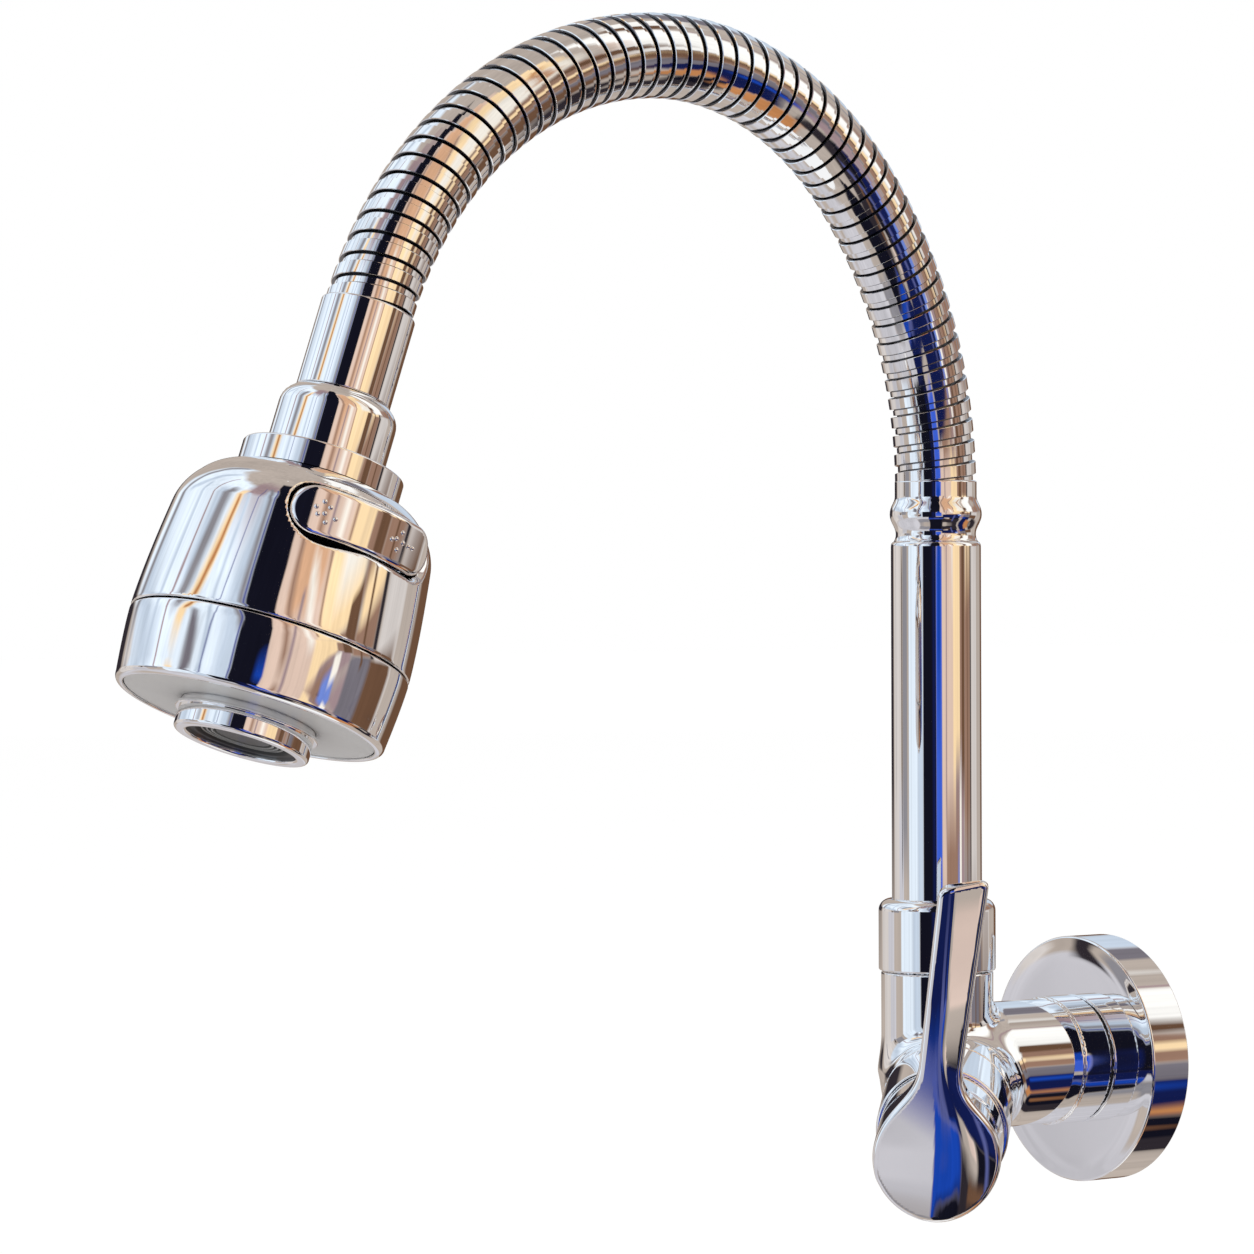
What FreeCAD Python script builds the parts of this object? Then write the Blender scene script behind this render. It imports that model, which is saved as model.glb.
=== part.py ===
"""Wall-mounted kitchen tap: a lever valve, an upright pipe, a stay-put gooseneck and a two-way spray head.

Millimetres and degrees. The origin is the centre of the wall flange's back face, on the wall:
+X runs along the wall, +Y into the wall and +Z up.
"""
import FreeCAD, Part
import math
import os
import Sketcher
from FreeCAD import Placement, Rotation, Vector

# Driving dimensions: name, value, what it measures
DIMENSIONS = (
    # Wall side
    ("wall_to_pipe", 54.8, "wall to the axis of the upright pipe"),
    ("flange_radius", 30.6, "outside of the wall flange"),
    ("flange_depth", 11.8, "how far the flange stands off the wall"),
    ("flange_wall", 1.5, "metal thickness of the flange"),
    ("flange_edge", 0.7, "chamfer round the flange's face"),
    ("thread_radius", 10.478, "half of the G1/2 thread's outside diameter"),
    ("thread_reach", 15.0, "length of thread behind the wall plane"),
    ("thread_grip", 12.0, "length of the nipple inside the arm"),
    ("grip_radius", 10.2, "nipple on the tap's side of the wall plane"),
    ("thread_chamfer", 1.0, "lead-in at both ends of the nipple"),
    ("inlet_radius", 6.5, "water bore of the nipple and the arm"),
    ("washer_thickness", 0.5, "black washer between arm and flange"),
    ("washer_radius", 15.4, "outside of that washer"),
    # Valve body
    ("arm_radius", 15.5, "horizontal arm of the casting"),
    ("arm_ring_radius", 16.0, "raised ring at the arm's wall end"),
    ("arm_ring_width", 8.6, "width of that ring"),
    ("tube_radius", 13.7, "upright tube of the casting"),
    ("tube_top", 24.1, "height of the tube's shoulder under the nut"),
    ("barrel_radius", 15.9, "barrel that holds the cartridge"),
    ("barrel_reach", 20.0, "barrel's face, from the point where the axes meet"),
    ("valve_set_back", 4.7, "axes' meeting point behind the pipe's axis"),
    ("valve_drop", 3.5, "axes' meeting point below the arm's axis"),
    ("valve_azimuth", 47.0, "turn of the barrel from straight out toward +X"),
    ("valve_dip", 12.0, "tilt of the barrel below level"),
    ("knot_radius", 16.6, "round middle of the casting where its limbs meet"),
    ("knot_set_back", 1.5, "middle of that round behind the pipe's axis"),
    ("knot_drop", 2.0, "middle of that round below the arm's axis"),
    ("seat_radius", 3.8, "water passage into the cartridge"),
    ("chamber_floor", 8.4, "floor of the cartridge chamber along the barrel"),
    # Swivel joint of the spout
    ("pipe_radius", 11.0, "outside of the upright pipe"),
    ("pipe_wall", 1.2, "wall of the upright pipe"),
    ("pipe_top", 129.1, "height of the pipe's rounded top"),
    ("pipe_shoulder", 1.2, "height of the rounding at the pipe's top"),
    ("pipe_lip", 0.6, "how far that rounding comes in"),
    ("foot_bottom", 12.2, "bottom of the swivel foot"),
    ("foot_top", 38.0, "top of the swivel foot inside the pipe"),
    ("pipe_bottom", 30.0, "bottom of the pipe on the foot's shoulder"),
    ("foot_bore", 6.6, "water bore of the swivel foot"),
    ("spigot_radius", 12.5, "threaded spigot under the nut"),
    ("spigot_top", 36.0, "top of that spigot"),
    ("nut_radius", 14.3, "outside of the spout nut"),
    ("nut_top", 41.9, "top of the spout nut"),
    ("nut_round", 2.9, "rounding of the nut's top"),
    ("ring_width", 2.0, "height of the retaining ring"),
    ("ring_bite", 0.5, "depth of the ring's groove in the pipe"),
    ("slip_thickness", 0.8, "height of the slip washer under the nut's lip"),
    ("o_ring_section", 0.8, "section radius of the pipe's O-rings"),
    ("o_ring_groove", 2.4, "width of the O-ring grooves"),
    # Ball collar and gooseneck
    ("collar_neck", 9.78, "neck of the ball collar above the pipe"),
    ("collar_neck_rise", 1.8, "height of the neck above the pipe"),
    ("collar_bead", 11.25, "widest part of the ball collar"),
    ("collar_bead_rise", 6.6, "height of the widest part above the pipe"),
    ("collar_rim", 10.0, "rim of the ball collar"),
    ("collar_height", 15.0, "collar above the pipe's top"),
    ("rim_cover", 2.1, "collar past the start of the hose's bend"),
    ("collar_spigot", 11.1, "collar inside the pipe"),
    ("hose_band", 9.9, "outside of the hose's raised bands"),
    ("hose_groove", 8.8, "outside of the hose's recessed turns and of its ends"),
    ("hose_bore", 6.4, "inside of the metal hose"),
    ("hose_tail", 20.0, "straight plain end of the hose in its ferrules"),
    ("rib_share", 0.6, "share of a turn that is raised band"),
    ("rib_flank", 0.25, "axial length of a band's sloping side"),
    ("arch_radius_rise", 109.75, "bend radius of the gooseneck on its way up"),
    ("arch_angle_rise", 42.0, "turn of that first bend"),
    ("arch_radius_top", 79.4, "bend radius over the top"),
    ("arch_angle_top", 50.88, "turn over the top"),
    ("arch_radius_fall", 95.85, "bend radius on its way down"),
    ("head_tilt", 20.6, "head's axis off the plumb line"),
    ("spout_turn", 6.0, "spout at rest, turned from straight out toward +X"),
    ("liner_radius", 5.6, "outside of the inner water hose"),
    ("liner_bore", 4.0, "inside of the inner water hose"),
    ("liner_end", 6.0, "water hose beyond the metal hose at the pipe"),
    # Head joint
    ("sleeve_radius", 10.65, "ferrule at the head's end of the hose"),
    ("sleeve_length", 21.0, "length of that ferrule"),
    ("stem_radius", 7.0, "swivel stem that the head turns on"),
    ("stem_flange", 9.3, "flange of the stem"),
    ("stem_bore", 3.0, "water bore of the stem"),
    ("bell_radius", 13.25, "swivel nut of the head"),
    ("bell_flare", 3.2, "length of the nut's flared top"),
    ("step_radius", 18.2, "stepped ring above the head"),
    ("step_start", 36.0, "top of the stepped ring from the ferrule's top"),
    ("shell_start", 41.8, "top of the head's shell"),
    # Spray head
    ("shoulder_draft", 2.3, "how much narrower the shell is below its rounded shoulder than at its seam"),
    ("shoulder_bend", 12.0, "bend radius of the shoulder"),
    ("shoulder_start", 51.6, "lower end of the shoulder"),
    ("seam_radius", 31.3, "shell at its seam"),
    ("seam_start", 78.6, "seam between shell and skirt"),
    ("seam_gap", 0.35, "open width of the seam"),
    ("skirt_draft", 1.1, "how much the skirt narrows to its bottom"),
    ("skirt_round", 1.6, "rounding at the skirt's bottom"),
    ("head_bottom", 95.3, "bottom edge of the skirt"),
    ("shell_wall", 2.0, "wall of shell and skirt"),
    ("face_recess", 0.5, "grey face plate set into the skirt"),
    ("face_thickness", 1.6, "thickness of the face plate"),
    ("outlet_radius", 15.0, "neck of the outlet"),
    ("outlet_flange", 16.0, "thin flange round the outlet"),
    ("outlet_ring", 15.1, "aerator ring"),
    ("outlet_bottom", 101.6, "bottom of the aerator ring"),
    ("outlet_mouth", 12.2, "mouth of the aerator ring"),
    ("core_radius", 9.4, "ringed aerator insert"),
    ("screen_radius", 6.0, "dark screen in the middle of the insert"),
    ("chamber_radius", 15.5, "water chamber inside the shell"),
    ("chamber_neck", 11.0, "neck of the chamber inside the outlet"),
    ("chamber_neck_reach", 8.0, "where that neck starts, above the skirt's bottom"),
    ("chamber_taper", 6.0, "height of the slope between the chamber and its neck"),
    ("chamber_floor_lift", 4.0, "end of the neck, above the skirt's bottom"),
    ("outlet_passage", 5.0, "water passage of the neck"),
    ("passage_start", 8.0, "start of that passage below the button's middle"),
    ("small_passage", 1.5, "water passage beside the spool"),
    ("outlet_grip", 6.0, "outlet neck inside the skirt"),
    ("outlet_flange_drop", 0.8, "thin flange below the skirt's bottom"),
    ("outlet_flange_height", 0.9, "thickness of that flange"),
    # Rocker button
    ("button_turn", 6.0, "button's direction about the head's axis"),
    ("button_level", 53.3, "middle of the button along the head's axis"),
    ("button_length", 35.2, "length of the rocker"),
    ("button_height", 11.0, "height of the rocker"),
    ("button_sink", 2.0, "rocker's curved face inside the seam's radius"),
    ("button_thickness", 3.2, "thickness of the rocker"),
    ("pivot_depth", 5.7, "rocker's pin behind its curved face"),
    ("button_rest", 3.5, "rocker's tilt at rest, outer end pressed in"),
    ("recess_margin", 0.8, "gap round the rocker at the recess's floor"),
    ("recess_slope", 2.6, "how much the recess widens to the shell's face"),
    ("pin_radius", 1.0, "rocker's pin"),
    ("ear_width", 4.8, "rocker's ear on the pin"),
    ("ear_share", 0.6, "ear's height as a share of the rocker's"),
    ("cheek_width", 5.0, "cradle's cheeks beside the ear"),
    ("cheek_height", 2.0, "thickness of each cheek"),
    ("cheek_reach", 1.9, "cheeks beyond the pin's axis"),
    ("cheek_slack", 0.4, "gap between the ear and each cheek"),
    ("cradle_width", 30.0, "back plate of the cradle"),
    ("cradle_plate", 2.0, "thickness of that plate"),
    ("nose_set_back", 2.0, "round nose of the spool behind the rocker's pin"),
    ("spool_ring_start", 2.0, "spool's first groove from its flat end"),
    ("spool_ring_step", 6.0, "from one groove of the spool to the next"),
    ("spool_tail", 4.0, "flat end of the spool from the head's axis"),
    ("spool_radius", 3.5, "diverter spool"),
    ("spool_offset", 8.0, "spool's axis beside the pin"),
    # Lever handle
    ("hub_radius", 15.0, "round hub of the handle"),
    ("hub_start", 38.8, "open end of the hub along the barrel"),
    ("hub_front", 61.0, "crown of the hub along the barrel"),
    ("hub_wall", 1.8, "wall of the hub"),
    ("hub_boss", 6.8, "boss that grips the spindle"),
    ("lever_length", 65.4, "hub's centre to the left corner of the lever's tip"),
    ("lever_skew", 3.2, "how much further the tip's right corner reaches"),
    ("lever_half_width", 4.9, "half of the lever's width above the hub"),
    ("lever_spread", 0.8, "how much each side of the lever moves out up to the tip"),
    ("lever_shift", 1.7, "lever's middle line beside the hub's centre"),
    ("lever_lean", 7.9, "lean of the lever to the right"),
    ("lever_neck", 9.0, "concave rounding between hub and lever"),
    ("lever_back", 55.2, "back of the lever along the barrel"),
    ("lever_corner", 2.4, "rounding of the lever's tip corners"),
    # Cartridge
    ("trim_radius", 15.8, "trim sleeve round the cartridge"),
    ("trim_end", 38.5, "outer end of the trim sleeve"),
    ("trim_wall", 1.2, "wall of the trim sleeve"),
    ("cartridge_radius", 8.9, "threaded part of the cartridge"),
    ("cartridge_flange", 11.4, "hexagon flange, across its corners' circle"),
    ("cartridge_neck", 7.0, "neck round the spindle"),
    ("cartridge_top", 34.0, "end of the neck"),
    ("disc_radius", 7.5, "ceramic discs"),
    ("disc_thickness", 2.4, "thickness of each disc"),
    ("spindle_radius", 4.0, "spindle"),
    ("spindle_end", 46.0, "end of the spindle in the handle"),
    # Clearances
    ("running_gap", 0.06, "radial clearance of what turns or slides"),
    ("fit_gap", 0.1, "radial clearance of what is fixed"),
    ("cut_past", 3.0, "how far the chamber's cut reaches past the barrel's face"),
    ("face_gap", 0.3, "axial clearance between faces that pass each other"),
)

doc = FreeCAD.newDocument("kitchen_tap")
sheet = doc.addObject("Spreadsheet::Sheet", "Sizes")


class Size:
    """A size now, with the sheet expression that it comes from."""

    def __init__(self, value, text):
        self.value = float(value)
        self.text = text

    @staticmethod
    def of(other):
        return other if isinstance(other, Size) else Size(other, repr(float(other)))

    def __add__(self, other):
        other = Size.of(other)
        return Size(self.value + other.value, f"({self.text} + {other.text})")

    __radd__ = __add__

    def __sub__(self, other):
        other = Size.of(other)
        return Size(self.value - other.value, f"({self.text} - {other.text})")

    def __rsub__(self, other):
        return Size.of(other) - self

    def __mul__(self, other):
        other = Size.of(other)
        return Size(self.value * other.value, f"({self.text} * {other.text})")

    __rmul__ = __mul__

    def __truediv__(self, other):
        other = Size.of(other)
        return Size(self.value / other.value, f"({self.text} / {other.text})")

    def __neg__(self):
        return Size(-self.value, f"(0 - {self.text})")

    def __float__(self):
        return self.value


class Sizes:
    """Every driving dimension by name."""


d = Sizes()
for row, (alias, value, note) in enumerate(DIMENSIONS, start=1):
    sheet.set(f"A{row}", alias)
    sheet.set(f"B{row}", repr(value))
    sheet.setAlias(f"B{row}", alias)
    sheet.set(f"C{row}", note)
    setattr(d, alias, Size(value, f"Sizes.{alias}"))
doc.recompute()

# Sizes that follow from others
shoulder_radius = d.seam_radius - d.shoulder_draft
skirt_radius = d.seam_radius - d.skirt_draft
button_face = d.seam_radius - d.button_sink
button_pivot = button_face - d.pivot_depth
arch_start = d.pipe_top + d.collar_height - d.rim_cover

parts = []


def sub_part(feature, label):
    """Names a finished sub-part and notes it for writing."""
    feature.Label = label
    parts.append(feature)
    return feature


# Frames: the origin and axes that each sub-assembly is built in
def frame_at(origin, z_axis, x_hint):
    """A placement whose Z is z_axis and whose X lies as near to x_hint as it can."""
    z_dir = Vector(z_axis).normalize()
    x_dir = (Vector(x_hint) - z_dir * z_dir.dot(Vector(x_hint))).normalize()
    y_dir = z_dir.cross(x_dir)
    return Placement(Vector(origin), Rotation(x_dir, y_dir, z_dir, "ZXY"))


X = Vector(1, 0, 0)
Y = Vector(0, 1, 0)
Z = Vector(0, 0, 1)
ORIGIN = Vector(0, 0, 0)

wall = frame_at(ORIGIN, -Y, X)
pipe_foot = Vector(0, -d.wall_to_pipe.value, 0)
pipe = frame_at(pipe_foot, Z, X)

azimuth = math.radians(d.valve_azimuth.value)
dip = math.radians(d.valve_dip.value)
valve_out = Vector(math.sin(azimuth) * math.cos(dip), -math.cos(azimuth) * math.cos(dip), -math.sin(dip))
valve_centre = pipe_foot + Y * d.valve_set_back.value - Z * d.valve_drop.value
valve = frame_at(valve_centre, valve_out, Vector(math.cos(azimuth), math.sin(azimuth), 0))


# Gooseneck's centreline: three tangent arcs in the upright plane of the spout
turn = math.radians(d.spout_turn.value)
OUTWARD = Vector(math.sin(turn), -math.cos(turn), 0)
SIDEWAYS = Vector(math.cos(turn), math.sin(turn), 0)
HALF_TURN = 180.0
arch_angle_fall = HALF_TURN - d.head_tilt.value - d.arch_angle_rise.value - d.arch_angle_top.value
ARCS = (
    (d.arch_radius_rise.value, math.radians(d.arch_angle_rise.value)),
    (d.arch_radius_top.value, math.radians(d.arch_angle_top.value)),
    (d.arch_radius_fall.value, math.radians(arch_angle_fall)),
)


def walk_arch(distance):
    """The point and the direction on the centreline, at a distance from the start of the bend."""
    reach = 0.0
    rise = arch_start.value
    heading = math.pi / 2
    if distance < 0:
        return pipe_foot + Z * (rise + distance), Vector(Z)
    for radius, angle in ARCS:
        following = heading - min(angle, distance / radius)
        reach += radius * (math.sin(heading) - math.sin(following))
        rise += radius * (math.cos(following) - math.cos(heading))
        heading = following
        distance -= radius * angle
        if distance <= 0:
            break
    direction = OUTWARD * math.cos(heading) + Z * math.sin(heading)
    point = pipe_foot + OUTWARD * reach + Z * rise + direction * max(distance, 0.0)
    return point, direction


ARCH_LENGTH = sum(radius * angle for radius, angle in ARCS)
head_top, head_down = walk_arch(ARCH_LENGTH)
button_turn = math.radians(d.button_turn.value)
head_front = head_down.cross(SIDEWAYS)
button_out = SIDEWAYS * math.cos(button_turn) + head_front * math.sin(button_turn)
head = frame_at(head_top, head_down, button_out)


# Sketches: a closed outline of lines and arcs, every corner bound to the sheet
def bound(sketch, geometry, kind, where, size, name):
    """Adds a dimension to a sketch and binds it to the sheet."""
    index = sketch.addConstraint(Sketcher.Constraint(kind, *where, size.value))
    sketch.renameConstraint(index, name)
    sketch.setExpression(f"Constraints.{name}", size.text)


def arc_between(start, end, bend):
    """The arc from start to end; a positive bend curves to the left."""
    radius = abs(bend)
    chord = end - start
    middle = (start + end) / 2
    height = math.sqrt(max(radius * radius - chord.Length ** 2 / 4, 0.0))
    left = Vector(-chord.y, chord.x, 0).normalize()
    centre = middle + left * math.copysign(height, bend)
    first, last = (start, end) if bend > 0 else (end, start)
    circle = Part.Circle(centre, Z, radius)
    angles = [math.atan2(p.y - centre.y, p.x - centre.x) for p in (first, last)]
    return Part.ArcOfCircle(circle, *angles)


def draw(sketch, outline):
    """Draws a closed outline. Each corner is (x, y) or (x, y, bend of the side that arrives there)."""
    corners = [(Size.of(c[0]), Size.of(c[1]), Size.of(c[2]) if len(c) > 2 else None) for c in outline]
    count = len(corners)
    heads = []
    for i, (x, y, _) in enumerate(corners):
        following = corners[(i + 1) % count]
        start = Vector(x.value, y.value, 0)
        end = Vector(following[0].value, following[1].value, 0)
        bend = following[2]
        if bend is None:
            sketch.addGeometry(Part.LineSegment(start, end), False)
            heads.append(1)
        else:
            sketch.addGeometry(arc_between(start, end, bend.value), False)
            heads.append(1 if bend.value > 0 else 2)
    for i in range(count):
        following = (i + 1) % count
        sketch.addConstraint(Sketcher.Constraint("Coincident", i, 3 - heads[i], following, heads[following]))
    for i, (x, y, _) in enumerate(corners):
        for kind, size, axis, name in (("DistanceX", x, -2, "across"), ("DistanceY", y, -1, "along")):
            if size.value == 0.0:
                sketch.addConstraint(Sketcher.Constraint("PointOnObject", i, heads[i], axis))
            else:
                bound(sketch, i, kind, (i, heads[i]), size, f"{name}{i}")
        bend = corners[(i + 1) % count][2]
        if bend is not None:
            radius = bend if bend.value > 0 else -bend
            bound(sketch, i, "Radius", (i,), radius, f"bend{i}")


def sketch_on(body, role, name, outline):
    """A sketch of the outline on one of the body's own origin planes."""
    sketch = body.newObject("Sketcher::SketchObject", name)
    plane = [p for p in body.Origin.OriginFeatures if p.Role == role][0]
    sketch.AttachmentSupport = (plane, [""])
    sketch.MapMode = "FlatFace"
    draw(sketch, outline)
    return sketch


def turned(label, placement, outline):
    """A body turned about its own Z from a half section of (radius, height) corners."""
    body = doc.addObject("PartDesign::Body", label)
    sketch = sketch_on(body, "XZ_Plane", label + "_section", outline)
    feature = body.newObject("PartDesign::Revolution", label + "_turned")
    feature.Profile = sketch
    feature.ReferenceAxis = (sketch, ["V_Axis"])
    feature.Angle = 360
    body.Tip = feature
    body.Placement = placement
    return body


def solid(kind, label, placement, **sizes):
    """A Part primitive with its sizes bound to the sheet."""
    feature = doc.addObject(kind, label)
    for name, size in sizes.items():
        if isinstance(size, Size):
            feature.setExpression(name, size.text)
        else:
            setattr(feature, name, size)
    feature.Placement = placement
    return feature


def cylinder(label, placement, radius, height, start=None):
    """A cylinder along the placement's Z, from start on that axis."""
    shift = Placement(Z * start.value, Rotation()) if start is not None else Placement()
    return solid("Part::Cylinder", label, placement * shift, Radius=Size.of(radius), Height=Size.of(height))


def joined(label, features):
    """Several solids fused into one."""
    feature = doc.addObject("Part::MultiFuse", label)
    feature.Shapes = features
    feature.Refine = True
    return feature


def cut(label, base, tool):
    """One solid less another."""
    feature = doc.addObject("Part::Cut", label)
    feature.Base = base
    feature.Tool = tool
    feature.Refine = True
    return feature


def block(inner, outer, low, high):
    """Corners of a plain ring's half section."""
    return ((inner, low), (outer, low), (outer, high), (inner, high))


# Wall flange, washer and threaded inlet
def build_wall_side():
    hole = d.thread_radius + d.face_gap
    depth = d.flange_depth
    rim = d.flange_radius - d.flange_wall
    sub_part(turned("wall_flange", wall, (
        (hole, depth - d.flange_wall),
        (rim, depth - d.flange_wall),
        (rim, 0),
        (d.flange_radius, 0),
        (d.flange_radius, depth - d.flange_edge),
        (d.flange_radius - d.flange_edge, depth),
        (hole, depth),
    )), "wall_flange")
    arm_end = depth + d.washer_thickness
    sub_part(turned("arm_washer", wall, block(hole, d.washer_radius, depth, arm_end)), "arm_washer")
    low = -d.thread_reach
    high = arm_end + d.thread_grip
    lead = d.thread_chamfer
    sub_part(turned("inlet_nipple", wall, (
        (d.inlet_radius, low),
        (d.thread_radius - lead, low),
        (d.thread_radius, low + lead),
        (d.thread_radius, 0),
        (d.grip_radius, 0),
        (d.grip_radius, high - lead),
        (d.grip_radius - lead, high),
        (d.inlet_radius, high),
    )), "inlet_nipple")


# Valve body: arm, upright tube and barrel of one casting
def build_valve_body():
    arm_end = d.flange_depth + d.washer_thickness
    arm_length = d.wall_to_pipe - arm_end
    arm = cylinder("arm", wall, d.arm_radius, arm_length, arm_end)
    tube = cylinder("tube", pipe, d.tube_radius, d.tube_top)
    barrel = cylinder("barrel", valve, d.barrel_radius, d.barrel_reach)
    knot_frame = Placement(Vector(0, (d.knot_set_back - d.wall_to_pipe).value, -d.knot_drop.value), Rotation())
    knot = solid("Part::Sphere", "knot", knot_frame, Radius=d.knot_radius)
    casting = joined("casting", [knot, arm, tube, barrel])
    ring = cylinder("arm_ring", wall, d.arm_ring_radius, d.arm_ring_width, arm_end)
    spigot = cylinder("spigot", pipe, d.spigot_radius, d.spigot_top)
    outside = joined("outside", [casting, ring, spigot])
    # Waterways: in through the arm and the seat, out through the side of the chamber
    socket = cylinder("arm_socket", wall, d.grip_radius + d.fit_gap, d.thread_grip, arm_end)
    seat_start = 4.0
    inlet_end = d.wall_to_pipe - d.valve_set_back - seat_start
    inlet = cylinder("inlet_way", wall, d.inlet_radius, inlet_end - arm_end, arm_end)
    seat = cylinder("seat_way", valve, d.seat_radius, d.chamber_floor + seat_start, Size.of(-seat_start))
    chamber = cylinder("chamber", valve, d.cartridge_radius + d.fit_gap,
                       d.barrel_reach - d.chamber_floor + d.cut_past, d.chamber_floor)
    pipe_socket = cylinder("pipe_socket", pipe, d.pipe_radius + d.running_gap,
                           d.spigot_top - d.foot_bottom + d.face_gap, d.foot_bottom - d.face_gap)
    chamber_side = valve.multVec(Z * (d.chamber_floor.value + d.disc_radius.value))
    outlet_end = pipe.multVec(Z * d.foot_bottom.value)
    outlet_line = outlet_end - chamber_side
    outlet = solid("Part::Cylinder", "outlet_way", frame_at(chamber_side, outlet_line, X),
                   Radius=d.seat_radius)
    outlet.Height = outlet_line.Length
    ways = joined("waterways", [socket, inlet, seat, chamber, pipe_socket, outlet])
    sub_part(cut("valve_body", outside, ways), "valve_body")


# Cartridge: brass housing, seal, two ceramic discs and the spindle
def build_cartridge():
    floor = d.chamber_floor
    seal_height = 1.2
    base = floor + seal_height / 2
    cavity = d.disc_radius + d.face_gap
    disc_start = floor + seal_height
    moving_start = disc_start + d.disc_thickness + d.running_gap
    plate_start = moving_start + d.disc_thickness + d.running_gap
    plate = 1.4
    roof = plate_start + plate + d.face_gap
    bore = d.spindle_radius + d.running_gap
    sub_part(turned("cartridge_housing", valve, (
        (cavity, base),
        (d.cartridge_radius, base),
        (d.cartridge_radius, d.barrel_reach),
        (d.cartridge_flange, d.barrel_reach),
        (d.cartridge_flange, d.barrel_reach + 4.0),
        (d.cartridge_neck, d.barrel_reach + 4.0),
        (d.cartridge_neck, d.cartridge_top),
        (bore, d.cartridge_top),
        (bore, roof),
        (cavity, roof),
    )), "cartridge_housing")
    sub_part(turned("seat_seal", valve, block(d.seat_radius + d.face_gap, d.disc_radius, floor, disc_start)),
             "seat_seal")
    # Each disc has two openings on one side of the middle, which line up when the lever is turned
    for label, start, side in (("fixed_disc", disc_start, 1), ("moving_disc", moving_start, -1)):
        disc = cylinder(label + "_blank", valve, d.disc_radius, d.disc_thickness, start)
        port_radius = d.disc_radius * 0.22
        offset = d.disc_radius.value / 2 * side
        port_frame = valve * Placement(X * offset, Rotation())
        port = cylinder(label + "_port", port_frame, port_radius, d.disc_thickness * 2, start - d.face_gap)
        sub_part(cut(label, disc, port), label)
    groove = d.spindle_radius - 0.9
    groove_start = d.barrel_reach + 7.0
    groove_width = 1.1
    sub_part(turned("spindle", valve, (
        (0, plate_start),
        (d.disc_radius - d.fit_gap, plate_start),
        (d.disc_radius - d.fit_gap, plate_start + plate),
        (d.spindle_radius, plate_start + plate),
        (d.spindle_radius, groove_start),
        (groove, groove_start),
        (groove, groove_start + groove_width),
        (d.spindle_radius, groove_start + groove_width),
        (d.spindle_radius, d.spindle_end - 0.6),
        (d.spindle_radius - 0.6, d.spindle_end),
        (0, d.spindle_end),
    )), "spindle")
    section = 0.44
    ring_frame = valve * Placement(Z * (groove_start + groove_width / 2).value, Rotation())
    ring = solid("Part::Torus", "spindle_o_ring", ring_frame,
                 Radius1=groove + section, Radius2=Size.of(section))
    sub_part(ring, "spindle_o_ring")
    edge = 0.6
    start = d.barrel_reach
    sub_part(turned("trim_sleeve", valve, (
        (d.cartridge_flange + d.fit_gap, start),
        (d.trim_radius - edge, start),
        (d.trim_radius, start + edge),
        (d.trim_radius, d.trim_end - edge),
        (d.trim_radius - edge, d.trim_end),
        (d.trim_radius - d.trim_wall, d.trim_end),
        (d.trim_radius - d.trim_wall, start + d.trim_wall),
        (d.cartridge_flange + d.fit_gap, start + d.trim_wall),
    )), "trim_sleeve")


# Handle: a keyhole-shaped front drawn up from the round hub, over a hollow skirt
# Front of the handle at places along the lever: place, ridge across from the lever's middle line,
# height below the crown, slope of the left face, width of the rounded ridge, slope of the right face
FRONT_SECTIONS = (
    (-16.5, 2.6, 0.2, 0.10, 15.0, 0.58),
    (-8.0, 2.1, 0.0, 0.10, 15.0, 0.58),
    (3.0, 1.2, 0.0, 0.10, 14.0, 0.56),
    (11.0, 0.3, 0.0, 0.09, 9.0, 0.50),
    (20.0, -1.1, 0.1, 0.08, 3.6, 0.42),
    (40.0, -2.6, 0.3, 0.06, 2.3, 0.36),
    (70.0, -4.8, 0.9, 0.04, 2.0, 0.30),
)


def front_section(place, ridge, below, left_slope, width, right_slope):
    """One section across the handle's front: a flat left face, a rounded ridge and a sloping right face."""
    side = d.hub_radius.value + 4.0
    crown = d.hub_front.value - below
    under = d.lever_back.value - 2.0
    slope_angle = math.atan(right_slope)
    bend = width / math.sin(slope_angle)
    middle = Vector(ridge + bend * math.sin(slope_angle / 2), place,
                    crown - bend * (1 - math.cos(slope_angle / 2)))
    start = Vector(ridge, place, crown)
    end = Vector(ridge + width, place, crown - bend * (1 - math.cos(slope_angle)))
    left = Vector(-side, place, crown - left_slope * (side + ridge))
    right = Vector(side, place, end.z - right_slope * (side - end.x))
    floor_left = Vector(-side, place, under - d.hub_radius.value / 2)
    floor_right = Vector(side, place, under - d.hub_radius.value / 2)
    return Part.Wire([
        Part.makeLine(floor_left, left),
        Part.makeLine(left, start),
        Part.Arc(start, middle, end).toShape(),
        Part.makeLine(end, right),
        Part.makeLine(right, floor_right),
        Part.makeLine(floor_right, floor_left),
    ])


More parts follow.
